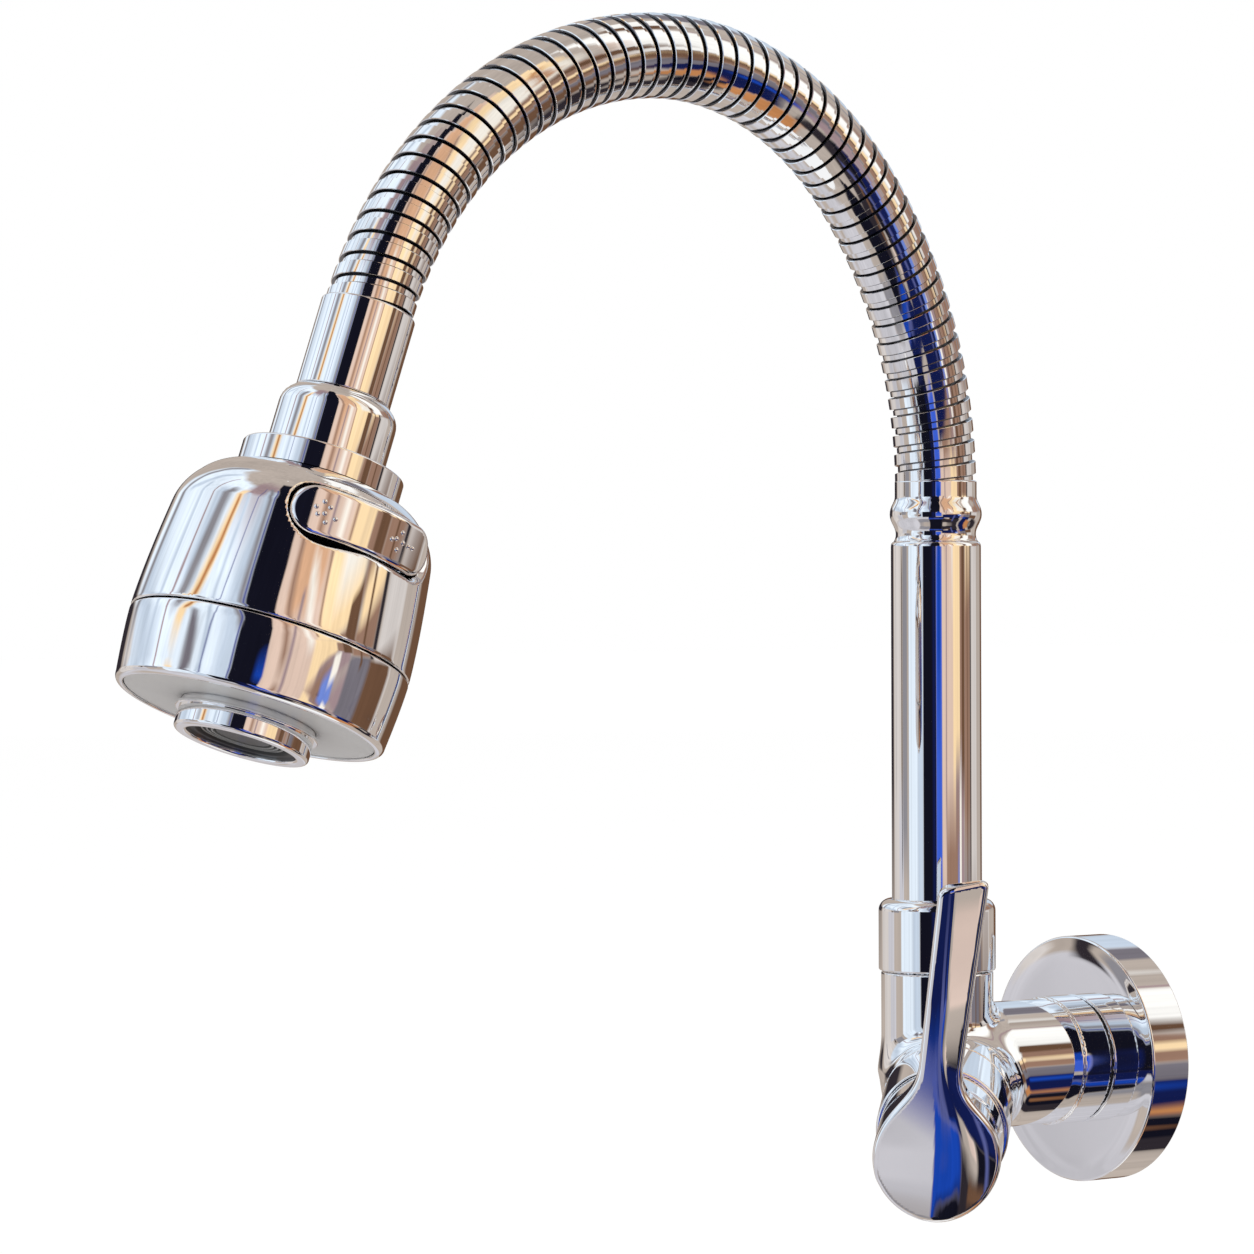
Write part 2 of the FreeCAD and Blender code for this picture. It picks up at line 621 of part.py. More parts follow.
def build_handle():
    handle_frame = valve * Placement(ORIGIN, Rotation(Z, -d.lever_lean.value))
    # Keyhole outline: the hub's circle, drawn out into the lever beside its middle line
    radius = d.hub_radius
    neck = d.lever_neck
    corner = d.lever_corner
    tip = d.lever_length
    shift = d.lever_shift
    half = d.lever_half_width
    outline = []
    for side in (1, -1):
        edge = half * side - shift
        bend_x = (edge + neck * side).value
        bend_y = math.sqrt((radius + neck).value ** 2 - bend_x ** 2)
        share = radius.value / (radius + neck).value
        reach = tip + d.lever_skew if side > 0 else tip
        flank = [
            (bend_x * share, bend_y * share),
            (edge, bend_y),
            (edge + d.lever_spread * side, reach - corner),
            (edge + (d.lever_spread - corner) * side, reach),
        ]
        outline.append(flank)
    right, left = outline
    keyhole = doc.addObject("Sketcher::SketchObject", "keyhole_outline")
    draw(keyhole, (
        (0, -radius, radius),
        (radius, 0, radius),
        (right[0][0], right[0][1], radius),
        (right[1][0], right[1][1], -neck),
        right[2],
        (right[3][0], right[3][1], corner),
        left[3],
        (left[2][0], left[2][1], corner),
        left[1],
        (left[0][0], left[0][1], -neck),
        (-radius, 0, radius),
    ))
    keyhole.Placement = handle_frame * Placement(Z * d.lever_back.value, Rotation())
    keyhole_block = doc.addObject("Part::Extrusion", "keyhole_block")
    keyhole_block.Base = keyhole
    keyhole_block.DirMode = "Normal"
    keyhole_block.Solid = True
    keyhole_block.setExpression("LengthFwd", (d.hub_front - d.lever_back + 2.0).text)
    skirt = cylinder("hub_block", valve, d.hub_radius, d.hub_front - d.hub_start + 2.0, d.hub_start)
    blank = joined("handle_blank", [keyhole_block, skirt])
    crowned = doc.addObject("Part::Feature", "crowned_front")
    crowned.Shape = Part.makeLoft([front_section(*section) for section in FRONT_SECTIONS], True)
    crowned.Placement = handle_frame
    front_end = d.lever_back - 1.5
    lower = cylinder("hub_lower", valve, d.hub_radius + 1.0, front_end - d.hub_start, d.hub_start)
    cover = joined("handle_cover", [crowned, lower])
    rounded = doc.addObject("Part::MultiCommon", "handle_rounded")
    rounded.Shapes = [blank, cover]
    boss_start = d.cartridge_top + 2.0
    hollow_end = d.lever_back - d.hub_wall - 1.0
    hollow = cylinder("hub_hollow", valve, d.hub_radius - d.hub_wall, hollow_end - d.hub_start + d.face_gap,
                      d.hub_start - d.face_gap)
    cup = cut("hub_cup", rounded, hollow)
    boss = cylinder("hub_boss_solid", valve, d.hub_boss, hollow_end - boss_start + 0.5, boss_start)
    shell = joined("handle_solid", [cup, boss])
    bore = cylinder("hub_bore", valve, d.spindle_radius + d.fit_gap, d.spindle_end - boss_start + d.face_gap,
                    boss_start)
    # Grub screw from below, through the skirt and the boss onto the spindle
    screw_radius = 2.4
    screw_level = (boss_start + 5.0).value
    screw_frame = valve * Placement(Z * screw_level, Rotation(X, 90))
    way = cylinder("screw_way", screw_frame, screw_radius + d.fit_gap, d.hub_radius)
    holes = joined("handle_holes", [bore, way])
    sub_part(cut("handle_lever", shell, holes), "handle_lever")
    seat = d.spindle_radius + d.running_gap
    screw = cylinder("handle_screw", screw_frame, screw_radius, d.hub_boss - seat, seat)
    sub_part(screw, "handle_screw")


# Spout joint: nut, slip washer, retaining ring and the foot with its O-rings
def build_spout_joint():
    running = d.running_gap
    lip = 1.4
    slip_top = d.nut_top - lip
    slip_bottom = slip_top - d.slip_thickness
    ring_top = slip_bottom - running
    ring_bottom = ring_top - d.ring_width
    ring_outer = d.spigot_radius - 0.4
    inner = d.spigot_radius + d.fit_gap
    nut_start = d.tube_top + d.face_gap
    rounding = d.nut_round
    sub_part(turned("spout_nut", pipe, (
        (inner, nut_start),
        (d.nut_radius - 0.4, nut_start),
        (d.nut_radius, nut_start + 0.4),
        (d.nut_radius, d.nut_top - rounding),
        (d.nut_radius - rounding, d.nut_top, rounding),
        (d.pipe_radius + running * 2, d.nut_top),
        (d.pipe_radius + running * 2, slip_top),
        (inner, slip_top),
    )), "spout_nut")
    slip_inner = d.pipe_radius + running * 2
    sub_part(turned("slip_washer", pipe, block(slip_inner, ring_outer, slip_bottom, slip_top)), "slip_washer")
    sub_part(turned("retaining_ring", pipe, block(d.pipe_radius - d.ring_bite + running, ring_outer,
                                                  ring_bottom, ring_top)), "retaining_ring")
    # Pipe: drawn tube with a groove for the ring and a rounded top
    bore = d.pipe_radius - d.pipe_wall
    groove = d.pipe_radius - d.ring_bite
    shoulder = d.pipe_shoulder
    lip_in = d.pipe_lip
    shoulder_bend = (shoulder * shoulder + lip_in * lip_in) / (lip_in * 2)
    sub_part(turned("spout_pipe", pipe, (
        (bore, d.pipe_bottom),
        (d.pipe_radius, d.pipe_bottom),
        (d.pipe_radius, ring_bottom - running),
        (groove, ring_bottom - running),
        (groove, ring_top + running),
        (d.pipe_radius, ring_top + running),
        (d.pipe_radius, d.pipe_top - shoulder),
        (d.pipe_radius - lip_in, d.pipe_top, shoulder_bend),
        (bore, d.pipe_top),
    )), "spout_pipe")
    # Foot: turned brass end with two grooves, its neck inside the pipe
    land = 2.2
    first = d.foot_bottom + land
    second = first + d.o_ring_groove + land
    floor = d.pipe_radius + running - d.o_ring_section * 2 - 0.02
    outer = d.pipe_radius - 0.02
    neck = bore - d.fit_gap / 2
    sub_part(turned("spout_foot", pipe, (
        (d.foot_bore, d.foot_bottom),
        (outer, d.foot_bottom),
        (outer, first),
        (floor, first),
        (floor, first + d.o_ring_groove),
        (outer, first + d.o_ring_groove),
        (outer, second),
        (floor, second),
        (floor, second + d.o_ring_groove),
        (outer, second + d.o_ring_groove),
        (outer, d.pipe_bottom),
        (neck, d.pipe_bottom),
        (neck, d.foot_top),
        (d.foot_bore, d.foot_top),
    )), "spout_foot")
    for label, start in (("lower_pipe_o_ring", first), ("upper_pipe_o_ring", second)):
        level = (start + d.o_ring_groove / 2).value
        ring = solid("Part::Torus", label, pipe * Placement(Z * level, Rotation()),
                     Radius1=floor + d.o_ring_section, Radius2=d.o_ring_section)
        sub_part(ring, label)


# Ball collar on the pipe's top, which takes the plain end of the hose
def build_collar():
    top = d.pipe_top
    rim = top + d.collar_height
    seat = rim - d.rim_cover - d.hose_tail
    socket = d.hose_groove + d.fit_gap
    foot = top - d.collar_spigot
    spigot = d.pipe_radius - d.pipe_wall - d.fit_gap / 2
    foot_edge = d.pipe_radius - d.pipe_lip
    neck = top + d.collar_neck_rise
    bead = top + d.collar_bead_rise
    # The neck is a hollow arc out to the pipe's lip and to the bead, the bead a round one
    flare = foot_edge - d.collar_neck
    flare_bend = (d.collar_neck_rise * d.collar_neck_rise + flare * flare) / (flare * 2)
    swell = (d.collar_bead - d.collar_neck) * 0.32
    swell_height = (bead - neck) * 0.36
    swell_bend = (swell_height * swell_height + swell * swell) / (swell * 2)
    rest = d.collar_bead - d.collar_neck - swell
    rest_height = bead - neck - swell_height
    bead_bend = (rest_height * rest_height + rest * rest) / (rest * 2)
    drop = d.collar_bead - d.collar_rim
    drop_height = rest_height * 1.25
    drop_bend = (drop_height * drop_height + drop * drop) / (drop * 2)
    edge = 0.3
    sub_part(turned("ball_collar", pipe, (
        (d.hose_bore + d.fit_gap, foot),
        (spigot, foot),
        (spigot, top),
        (foot_edge, top),
        (d.collar_neck, neck, -flare_bend),
        (d.collar_neck + swell, neck + swell_height, -swell_bend),
        (d.collar_bead, bead, bead_bend),
        (d.collar_rim, bead + drop_height, drop_bend),
        (d.collar_rim, rim - edge),
        (d.collar_rim - edge, rim, Size.of(edge)),
        (socket, rim),
        (socket, seat),
        (d.hose_bore + d.fit_gap, seat),
    )), "ball_collar")


# Gooseneck: a metal hose of wound strip, with its bands as ribs along the arch
def ring_at(distance, radius):
    """A circle square to the centreline, its X axis steady along the arch."""
    point, direction = walk_arch(distance)
    circle = Part.Circle()
    circle.Radius = radius
    edge = circle.toShape()
    edge.Placement = frame_at(point, direction, SIDEWAYS)
    return Part.Wire([edge])


def centreline(before, after):
    """A wire along the centreline, with straight ends before the rim and after the arch."""
    edges = [Part.makeLine(walk_arch(-before)[0], walk_arch(0.0)[0])]
    distance = 0.0
    for radius, angle in ARCS:
        points = [walk_arch(distance + radius * angle * share)[0] for share in (0.0, 0.5, 1.0)]
        edges.append(Part.Arc(*points).toShape())
        distance += radius * angle
    edges.append(Part.makeLine(walk_arch(ARCH_LENGTH)[0], walk_arch(ARCH_LENGTH + after)[0]))
    return Part.Wire(edges)


def tube_along(wire, radius, start):
    """A round bar swept along a wire from its start."""
    point, direction = walk_arch(start)
    profile = Part.Wire([Part.makeCircle(radius, point, direction)])
    return wire.makePipeShell([profile], True, False)


RIB_PITCH = 4.96


def build_hose():
    tail = d.hose_tail.value
    cover = d.rim_cover.value
    rib_count = round((ARCH_LENGTH - cover) / RIB_PITCH)
    pitch = (ARCH_LENGTH - cover) / rib_count
    band = d.hose_band.value
    groove = d.hose_groove.value
    flank = d.rib_flank.value
    width = pitch * d.rib_share.value
    margin = (pitch - width) / 2
    circles = [ring_at(-tail, groove)]
    for rib in range(rib_count):
        start = cover + rib * pitch + margin
        circles.append(ring_at(start, groove))
        circles.append(ring_at(start + flank, band))
        circles.append(ring_at(start + width - flank, band))
        circles.append(ring_at(start + width, groove))
    circles.append(ring_at(ARCH_LENGTH + tail, groove))
    outside = Part.makeLoft(circles, True, True)
    wire = centreline(tail, tail)
    bore = tube_along(wire, d.hose_bore.value, -tail)
    hose = doc.addObject("Part::Feature", "gooseneck_hose")
    hose.Shape = outside.cut(bore).Solids[0]
    sub_part(hose, "gooseneck_hose")
    steel = math.pi * ARCH_LENGTH * (groove ** 2 - d.hose_bore.value ** 2)
    print("hose length", round(ARCH_LENGTH + 2 * tail, 1), "ribs", rib_count, "pitch", round(pitch, 3),
          "least gap between ribs", round(pitch - width, 3), "bends", [round(a[0], 1) for a in ARCS],
          "volume", round(hose.Shape.Volume), "plain wall", round(steel))
    # Inner water hose, from inside the pipe to the stem of the head
    before = tail + d.liner_end.value
    after = tail - 6.0
    liner_wire = centreline(before, after)
    liner = doc.addObject("Part::Feature", "water_hose")
    liner.Shape = tube_along(liner_wire, d.liner_radius.value, -before).cut(
        tube_along(liner_wire, d.liner_bore.value, -before)).Solids[0]
    sub_part(liner, "water_hose")
    # Hose tail: brass barb between the pipe's bore and the water hose
    low = arch_start.value - before
    grip = 12.0
    barb = d.liner_bore - d.fit_gap / 2
    body = d.pipe_radius - d.pipe_wall - d.fit_gap / 2
    sub_part(turned("hose_tail", pipe, (
        (d.stem_bore, low - 8.0),
        (body, low - 8.0),
        (body, low),
        (barb, low),
        (barb, low + grip),
        (d.stem_bore, low + grip),
    )), "hose_tail")


# Swivel of the head: ferrule and stem stay with the hose, the nut turns with the head
def build_head_swivel():
    socket = d.hose_groove + d.fit_gap
    edge = 0.5
    seat = d.hose_tail
    end = d.sleeve_length
    sub_part(turned("head_ferrule", head, (
        (socket, 0),
        (d.sleeve_radius - edge, 0),
        (d.sleeve_radius, edge, Size.of(edge)),
        (d.sleeve_radius, end),
        (d.hose_bore + d.fit_gap, end),
        (d.hose_bore + d.fit_gap, seat),
        (socket, seat),
    )), "head_ferrule")
    barb = d.liner_bore - d.fit_gap / 2
    barb_start = seat - 16.0
    liner_stop = seat - 6.0
    flange_start = end + 3.4
    flange_end = flange_start + 2.6
    groove_start = flange_end + 3.0
    groove_width = 2.0
    groove = d.stem_radius - 1.2
    stem_end = d.step_start
    sub_part(turned("swivel_stem", head, (
        (d.stem_bore, barb_start),
        (barb, barb_start),
        (barb, liner_stop),
        (d.hose_bore - d.fit_gap, liner_stop),
        (d.hose_bore - d.fit_gap, end + d.fit_gap),
        (d.stem_radius, end + d.fit_gap),
        (d.stem_radius, flange_start),
        (d.stem_flange, flange_start),
        (d.stem_flange, flange_end),
        (d.stem_radius, flange_end),
        (d.stem_radius, groove_start),
        (groove, groove_start),
        (groove, groove_start + groove_width),
        (d.stem_radius, groove_start + groove_width),
        (d.stem_radius, stem_end),
        (d.stem_bore, stem_end),
    )), "swivel_stem")
    section = 0.6
    level = (groove_start + groove_width / 2).value
    ring = solid("Part::Torus", "stem_o_ring", head * Placement(Z * level, Rotation()),
                 Radius1=groove + section, Radius2=Size.of(section))
    sub_part(ring, "stem_o_ring")
    # Nut: flared bell over the stem's flange
    top = end + d.face_gap
    collar = d.sleeve_radius + 0.3
    thread = d.bell_radius - 2.4
    throat = d.stem_radius + d.running_gap
    roof = flange_start - d.running_gap
    sub_part(turned("swivel_nut", head, (
        (throat, top),
        (collar, top),
        (d.bell_radius, top + d.bell_flare, Size.of(-4.2)),
        (d.bell_radius, d.step_start + 1.4),
        (thread, d.step_start + 1.4),
        (thread, flange_end + d.running_gap),
        (d.stem_flange + d.running_gap, flange_end + d.running_gap),
        (d.stem_flange + d.running_gap, roof),
        (throat, roof),
    )), "swivel_nut")
    return flange_end


# Head: stepped ring, shell with the button's recess, skirt, face plate and the outlet
def build_head_shells():
    edge = 0.5
    start = d.step_start
    end = d.shell_start
    inside = d.bell_radius + d.fit_gap
    sub_part(turned("step_ring", head, (
        (inside, start),
        (d.step_radius - edge, start),
        (d.step_radius, start + edge, Size.of(edge)),
        (d.step_radius, end),
        (inside, end),
    )), "step_ring")
    wall_thickness = d.shell_wall
    top = d.shell_start
    top_radius = d.step_radius + 0.4
    opening = d.bell_radius + d.fit_gap
    seam = d.seam_start
    side_bend = d.seam_radius * 8.3
    shell = turned("shell_blank", head, (
        (opening, top),
        (top_radius, top),
        (shoulder_radius, d.shoulder_start, d.shoulder_bend),
        (d.seam_radius, seam, side_bend),
        (d.seam_radius - wall_thickness, seam),
        (shoulder_radius - wall_thickness, d.shoulder_start),
        (top_radius - wall_thickness, top + wall_thickness, -(d.shoulder_bend - wall_thickness)),
        (opening, top + wall_thickness),
    ))
    sub_part(recessed(shell), "head_shell")
    skirt_start = seam + d.seam_gap
    round_end = d.skirt_round
    bottom = d.head_bottom
    face_seat = bottom - d.face_recess - d.face_thickness
    face_radius = skirt_radius - wall_thickness
    sub_part(turned("head_skirt", head, (
        (d.seam_radius - wall_thickness, skirt_start),
        (d.seam_radius, skirt_start),
        (skirt_radius, bottom - round_end, side_bend),
        (skirt_radius - round_end, bottom, round_end),
        (face_radius, bottom),
        (face_radius, face_seat),
        (face_radius - 1.2, face_seat),
        (face_radius - 1.2, face_seat - 1.2),
    )), "head_skirt")
    sub_part(turned("face_plate", head, block(d.outlet_radius + d.fit_gap, face_radius - d.fit_gap,
                                              face_seat, face_seat + d.face_thickness)), "face_plate")


def stadium_wire(x, length, height, level):
    """An outline with round ends in the plane at x, centred at a level along the head's axis."""
    half = (length - height).value / 2
    end_radius = height.value / 2
    middle = level.value
    low = middle - end_radius
    high = middle + end_radius
    return Part.Wire([
        Part.makeLine(Vector(x, -half, low), Vector(x, half, low)),
        Part.Arc(Vector(x, half, low), Vector(x, half + end_radius, middle), Vector(x, half, high)).toShape(),
        Part.makeLine(Vector(x, half, high), Vector(x, -half, high)),
        Part.Arc(Vector(x, -half, high), Vector(x, -half - end_radius, middle),
                 Vector(x, -half, low)).toShape(),
    ])


def recessed(shell):
    """Cuts the button's opening with sloping sides through the shell."""
    doc.recompute()
    floor_length = d.button_length + d.recess_margin * 2
    floor_height = d.button_height + d.recess_margin * 2
    depth = 3.4
    deep = (button_face - depth).value
    face = button_face.value
    spread = d.recess_slope
    inner = stadium_wire(0.0, floor_length, floor_height, d.button_level)
    straight = Part.Face(inner).extrude(X * face * 1.2)
    sloped = Part.makeLoft([
        stadium_wire(deep - depth, floor_length, floor_height, d.button_level),
        stadium_wire(face + depth, floor_length + spread * 2, floor_height + spread, d.button_level),
    ], True, True)
    tool = doc.addObject("Part::Feature", "recess_tool")
    tool.Shape = straight.fuse(sloped)
    tool.Placement = head
    return cut("recessed_shell", shell, tool)


# Rocker button, its pin and cradle, and the diverter spool behind it
def build_rocker():
    back = button_face - d.button_thickness
    level = d.button_level
    height = d.button_height
    pivot = head * Placement(X * button_pivot.value, Rotation())
    tilted = pivot * Placement(ORIGIN, Rotation(Z, d.button_rest.value)) * Placement(
        X * -button_pivot.value, Rotation())
    outline = stadium_wire(0.0, d.button_length, height, level)
    bar = doc.addObject("Part::Feature", "button_bar")
    bar.Shape = Part.Face(outline).extrude(X * (button_face * 1.3).value)
    bar.Placement = tilted
    outer = cylinder("button_outer", tilted, button_face, height * 2, level - height)
    inner = cylinder("button_inner", tilted, back, height * 2, level - height)
    curved = cut("button_curve", outer, inner)
    plate = doc.addObject("Part::MultiCommon", "button_plate")
    plate.Shapes = [bar, curved]
    ear_half = d.ear_width / 2
    ear_height = height * d.ear_share
    ear_frame = tilted * Placement(Vector((button_pivot - ear_half).value, -ear_half.value,
                                          (level - ear_height / 2).value), Rotation())
    ear = solid("Part::Box", "button_ear", ear_frame, Length=back - button_pivot + ear_half + 0.8,
                Width=d.ear_width, Height=ear_height)
    pressed = joined("button_solid", [plate, ear])
    pin_hole = cylinder("button_hole", pivot, d.pin_radius + d.running_gap, height * 2, level - height)
    sub_part(cut("rocker_button", pressed, pin_hole), "rocker_button")
    # Pin across the ear, held by the cradle's two cheeks
    cheek = d.cheek_height
    cheek_start = ear_height / 2 + d.cheek_slack
    pin_half = cheek_start + cheek
    sub_part(cylinder("rocker_pin", pivot, d.pin_radius, pin_half * 2, level - pin_half), "rocker_pin")
    chamber = d.chamber_radius
    cradle_parts = []
    for name, low in (("upper", level - cheek_start - cheek), ("lower", level + cheek_start)):
        cheek_frame = head * Placement(Vector(chamber.value, -d.cheek_width.value / 2, low.value), Rotation())
        cradle_parts.append(solid("Part::Box", name + "_cheek", cheek_frame,
                                  Length=button_pivot + d.cheek_reach - chamber, Width=d.cheek_width,
                                  Height=cheek))
    back_frame = head * Placement(Vector(chamber.value, -d.cradle_width.value / 2,
                                         (level - pin_half).value), Rotation())
    cradle_parts.append(solid("Part::Box", "cradle_back", back_frame, Length=d.cradle_plate,
                              Width=d.cradle_width, Height=pin_half * 2))
    cradle_solid = joined("cradle_solid", cradle_parts)
    cradle_pin_hole = cylinder("cradle_pin_hole", pivot, d.pin_radius + d.fit_gap / 2, pin_half * 4,
                               level - pin_half * 2)
    spool_frame = head * Placement(Vector(0, d.spool_offset.value, level.value), Rotation(Y, 90))
    spool_hole = cylinder("cradle_spool_hole", spool_frame, d.spool_radius + d.running_gap, button_face)
    cradle_holes = joined("cradle_holes", [cradle_pin_hole, spool_hole])
    sub_part(cut("rocker_cradle", cradle_solid, cradle_holes), "rocker_cradle")
    # Spool: two grooves for its rings, and a round nose under the button
    nose = button_pivot - d.nose_set_back
    tail = d.spool_tail
    groove = d.spool_radius - 1.1
    width = 1.6
    first = tail + d.spool_ring_start
    places = (first, first + d.spool_ring_step)
    outline = [(0, tail), (d.spool_radius, tail)]
    for place in places:
        outline += [(d.spool_radius, place), (groove, place), (groove, place + width),
                    (d.spool_radius, place + width)]
    outline += [(d.spool_radius, nose - 1.5), (d.spool_radius - 1.5, nose, Size.of(1.5)), (0, nose)]
    sub_part(turned("diverter_spool", spool_frame, outline), "diverter_spool")
    section = 0.55
    rings = []
    for index, place in enumerate(places):
        ring_frame = spool_frame * Placement(Z * (place + width / 2), Rotation())
        rings.append(solid("Part::Torus", f"spool_ring_{index}", ring_frame,
                           Radius1=groove + section, Radius2=Size.of(section)))
    pair = doc.addObject("Part::Compound", "spool_o_rings")
    pair.Links = rings
    sub_part(pair, "spool_o_rings")
    return spool_frame


# Water chamber inside the head, from the stem down to the outlet
def build_chamber(stem_flange_end, spool_frame):
    thread = d.bell_radius - 2.4 - d.fit_gap
    top = stem_flange_end + d.running_gap + d.face_gap
    bore = d.stem_radius + d.running_gap
    stem_floor = d.step_start + d.face_gap
    neck_top = d.head_bottom - d.chamber_neck_reach
    neck = d.chamber_neck
    neck_end = d.head_bottom - d.chamber_floor_lift
    passage = d.outlet_passage
    body = d.chamber_radius - d.fit_gap
    collar = d.bell_radius
    nut_end = d.step_start + 1.4 + d.fit_gap
    shoulder = d.shell_start + d.shell_wall
    blank = turned("chamber_blank", head, (
        (bore, top),
        (thread, top),
        (thread, nut_end),
        (collar, nut_end),
        (collar, shoulder),
        (body, shoulder),
        (body, neck_top - d.chamber_taper),
        (neck, neck_top),
        (neck, neck_end),
        (passage, neck_end),
        (passage, d.button_level + d.passage_start),
        (d.small_passage, d.button_level + d.passage_start),
        (d.small_passage, stem_floor),
        (bore, stem_floor),
    ))
    spool_way = cylinder("spool_way", spool_frame, d.spool_radius + d.running_gap, d.chamber_radius,
                         d.spool_tail - 1.0)
    sub_part(cut("water_chamber", blank, spool_way), "water_chamber")
    # Outlet: neck with a thin flange, the aerator ring, its seal, insert and screen
    neck_start = d.head_bottom - d.outlet_grip
    flange_start = d.head_bottom + d.outlet_flange_drop
    flange_end = flange_start + d.outlet_flange_height
    ring_start = flange_end
    throat = d.core_radius + 0.3
    sub_part(turned("outlet_neck", head, (
        (neck + d.fit_gap, neck_start),
        (d.outlet_radius, neck_start),
        (d.outlet_radius, flange_start),
        (d.outlet_flange, flange_start),
        (d.outlet_flange, flange_end),
        (neck + d.fit_gap, flange_end),
    )), "outlet_neck")
    edge = 0.5
    mouth = d.outlet_mouth
    bottom = d.outlet_bottom
    lip = 1.2
    sub_part(turned("aerator_ring", head, (
        (mouth + lip, ring_start),
        (d.outlet_ring, ring_start),
        (d.outlet_ring, bottom - edge),
        (d.outlet_ring - edge, bottom, Size.of(edge)),
        (mouth + edge, bottom),
        (mouth, bottom - edge),
        (mouth, bottom - lip),
        (mouth + lip, bottom - lip),
    )), "aerator_ring")
    seal_top = bottom - lip - 1.5
    sub_part(turned("aerator_seal", head, (
        (throat, ring_start),
        (mouth + lip - d.fit_gap, ring_start),
        (mouth + lip - d.fit_gap, bottom - lip - d.fit_gap / 2),
        (throat + 0.8, bottom - lip - d.fit_gap / 2),
        (throat, seal_top),
    )), "aerator_seal")
    # Insert: concentric ridges round the screen
    ridge = 0.7
    core_bottom = seal_top + 1.0
    core_top = ring_start + 0.4
    screen = d.screen_radius
    step = (d.core_radius - screen) / 3
    outline = [(0, core_top), (d.core_radius, core_top), (d.core_radius, core_bottom)]
    for i in range(3):
        outer = d.core_radius - step * i
        outline += [(outer - step / 2, core_bottom), (outer - step / 2, core_bottom - ridge),
                    (outer - step, core_bottom - ridge)]
        if i < 2:
            outline.append((outer - step, core_bottom))
    outline.append((0, core_bottom - ridge))
    sub_part(turned("aerator_insert", head, outline), "aerator_insert")
    screen_plate = cylinder("aerator_screen", head, screen, Size.of(ridge - 0.2), core_bottom - ridge)
    sub_part(screen_plate, "aerator_screen")


build_wall_side()
build_valve_body()
build_cartridge()
build_handle()
build_spout_joint()
build_collar()
build_hose()
flange_end = build_head_swivel()
build_head_shells()
spool_place = build_rocker()
build_chamber(flange_end, spool_place)
doc.recompute()

for feature in doc.Objects:
    if "Invalid" in feature.State or "Error" in feature.State:
        raise RuntimeError(f"{feature.Label} did not build: {feature.State}")
for feature in parts:
    if feature.Shape.isNull() or not feature.Shape.isValid():
        raise RuntimeError(f"{feature.Label} is not a valid solid")
    if not feature.Shape.Solids:
        raise RuntimeError(f"{feature.Label} holds no solid")

os.makedirs("parts", exist_ok=True)
for feature in parts:
    feature.Shape.exportStep(f"parts/{feature.Label}.step")
print(len(parts), "sub-parts")
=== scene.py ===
"""Looks of a wall-mounted kitchen tap, piece by piece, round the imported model's frame.

The pieces' sizes are in millimetres, in the axes of the piece that carries them, and their meshes
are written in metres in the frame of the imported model.
"""
import logging
import math
from dataclasses import dataclass
from enum import Enum
from typing import Callable, Sequence

import bpy
import numpy as np
from mathutils import Matrix, Vector


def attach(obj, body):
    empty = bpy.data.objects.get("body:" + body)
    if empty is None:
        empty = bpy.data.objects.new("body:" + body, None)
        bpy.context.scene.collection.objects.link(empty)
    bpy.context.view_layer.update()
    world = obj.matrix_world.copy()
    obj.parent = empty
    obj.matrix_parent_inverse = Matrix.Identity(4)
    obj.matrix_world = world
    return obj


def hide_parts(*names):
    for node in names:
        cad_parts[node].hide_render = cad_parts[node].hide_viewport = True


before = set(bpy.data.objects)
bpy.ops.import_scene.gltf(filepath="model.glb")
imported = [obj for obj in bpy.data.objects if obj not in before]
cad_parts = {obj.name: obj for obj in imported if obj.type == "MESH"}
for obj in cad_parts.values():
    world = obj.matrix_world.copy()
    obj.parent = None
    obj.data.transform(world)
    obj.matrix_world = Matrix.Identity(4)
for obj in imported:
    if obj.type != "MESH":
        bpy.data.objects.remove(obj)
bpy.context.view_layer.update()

MM = 0.001
TINY = 1e-6
LOG = logging.getLogger("kitchen_tap")
Field = Callable[[np.ndarray], np.ndarray]


# Axes that the pieces are built in
@dataclass(frozen=True)
class Axes:
    """An origin in millimetres and three unit axes."""

    origin: tuple[float, float, float]
    rows: tuple[tuple[float, float, float], ...]

    @staticmethod
    def along(origin: Sequence[float], z_axis: Sequence[float], x_hint: Sequence[float]) -> "Axes":
        """Axes whose Z is z_axis and whose X lies as near to x_hint as it can.

        Args:
            origin: The origin in millimetres.
            z_axis: Direction of Z.
            x_hint: Rough direction of X.

        Returns:
            The right-handed axes.
        """
        z_dir = Vector(z_axis).normalized()
        x_dir = Vector(x_hint)
        x_dir = (x_dir - z_dir * z_dir.dot(x_dir)).normalized()
        y_dir = z_dir.cross(x_dir)
        return Axes(tuple(origin), (tuple(x_dir), tuple(y_dir), tuple(z_dir)))

    def turned(self, degrees: float) -> "Axes":
        """The same axes turned about their own Z.

        Args:
            degrees: Angle of the turn.

        Returns:
            The turned axes.
        """
        x_dir, y_dir, z_dir = (Vector(row) for row in self.rows)
        angle = math.radians(degrees)
        return Axes.along(self.origin, z_dir, x_dir * math.cos(angle) + y_dir * math.sin(angle))

    def moved(self, amount: float) -> "Axes":
        """The same axes with the origin moved along their X."""
        return Axes(tuple(Vector(self.origin) + Vector(self.rows[0]) * amount), self.rows)

    def to_world(self, points: np.ndarray) -> np.ndarray:
        """Points of these axes, in the frame's millimetres."""
        return points @ np.array(self.rows) + np.array(self.origin)

    def to_local(self, points: np.ndarray) -> np.ndarray:
        """Points of the frame, in these axes."""
        return (points - np.array(self.origin)) @ np.array(self.rows).T

    def directions(self, vectors: np.ndarray) -> np.ndarray:
        """Directions of these axes, in the frame."""
        return vectors @ np.array(self.rows)


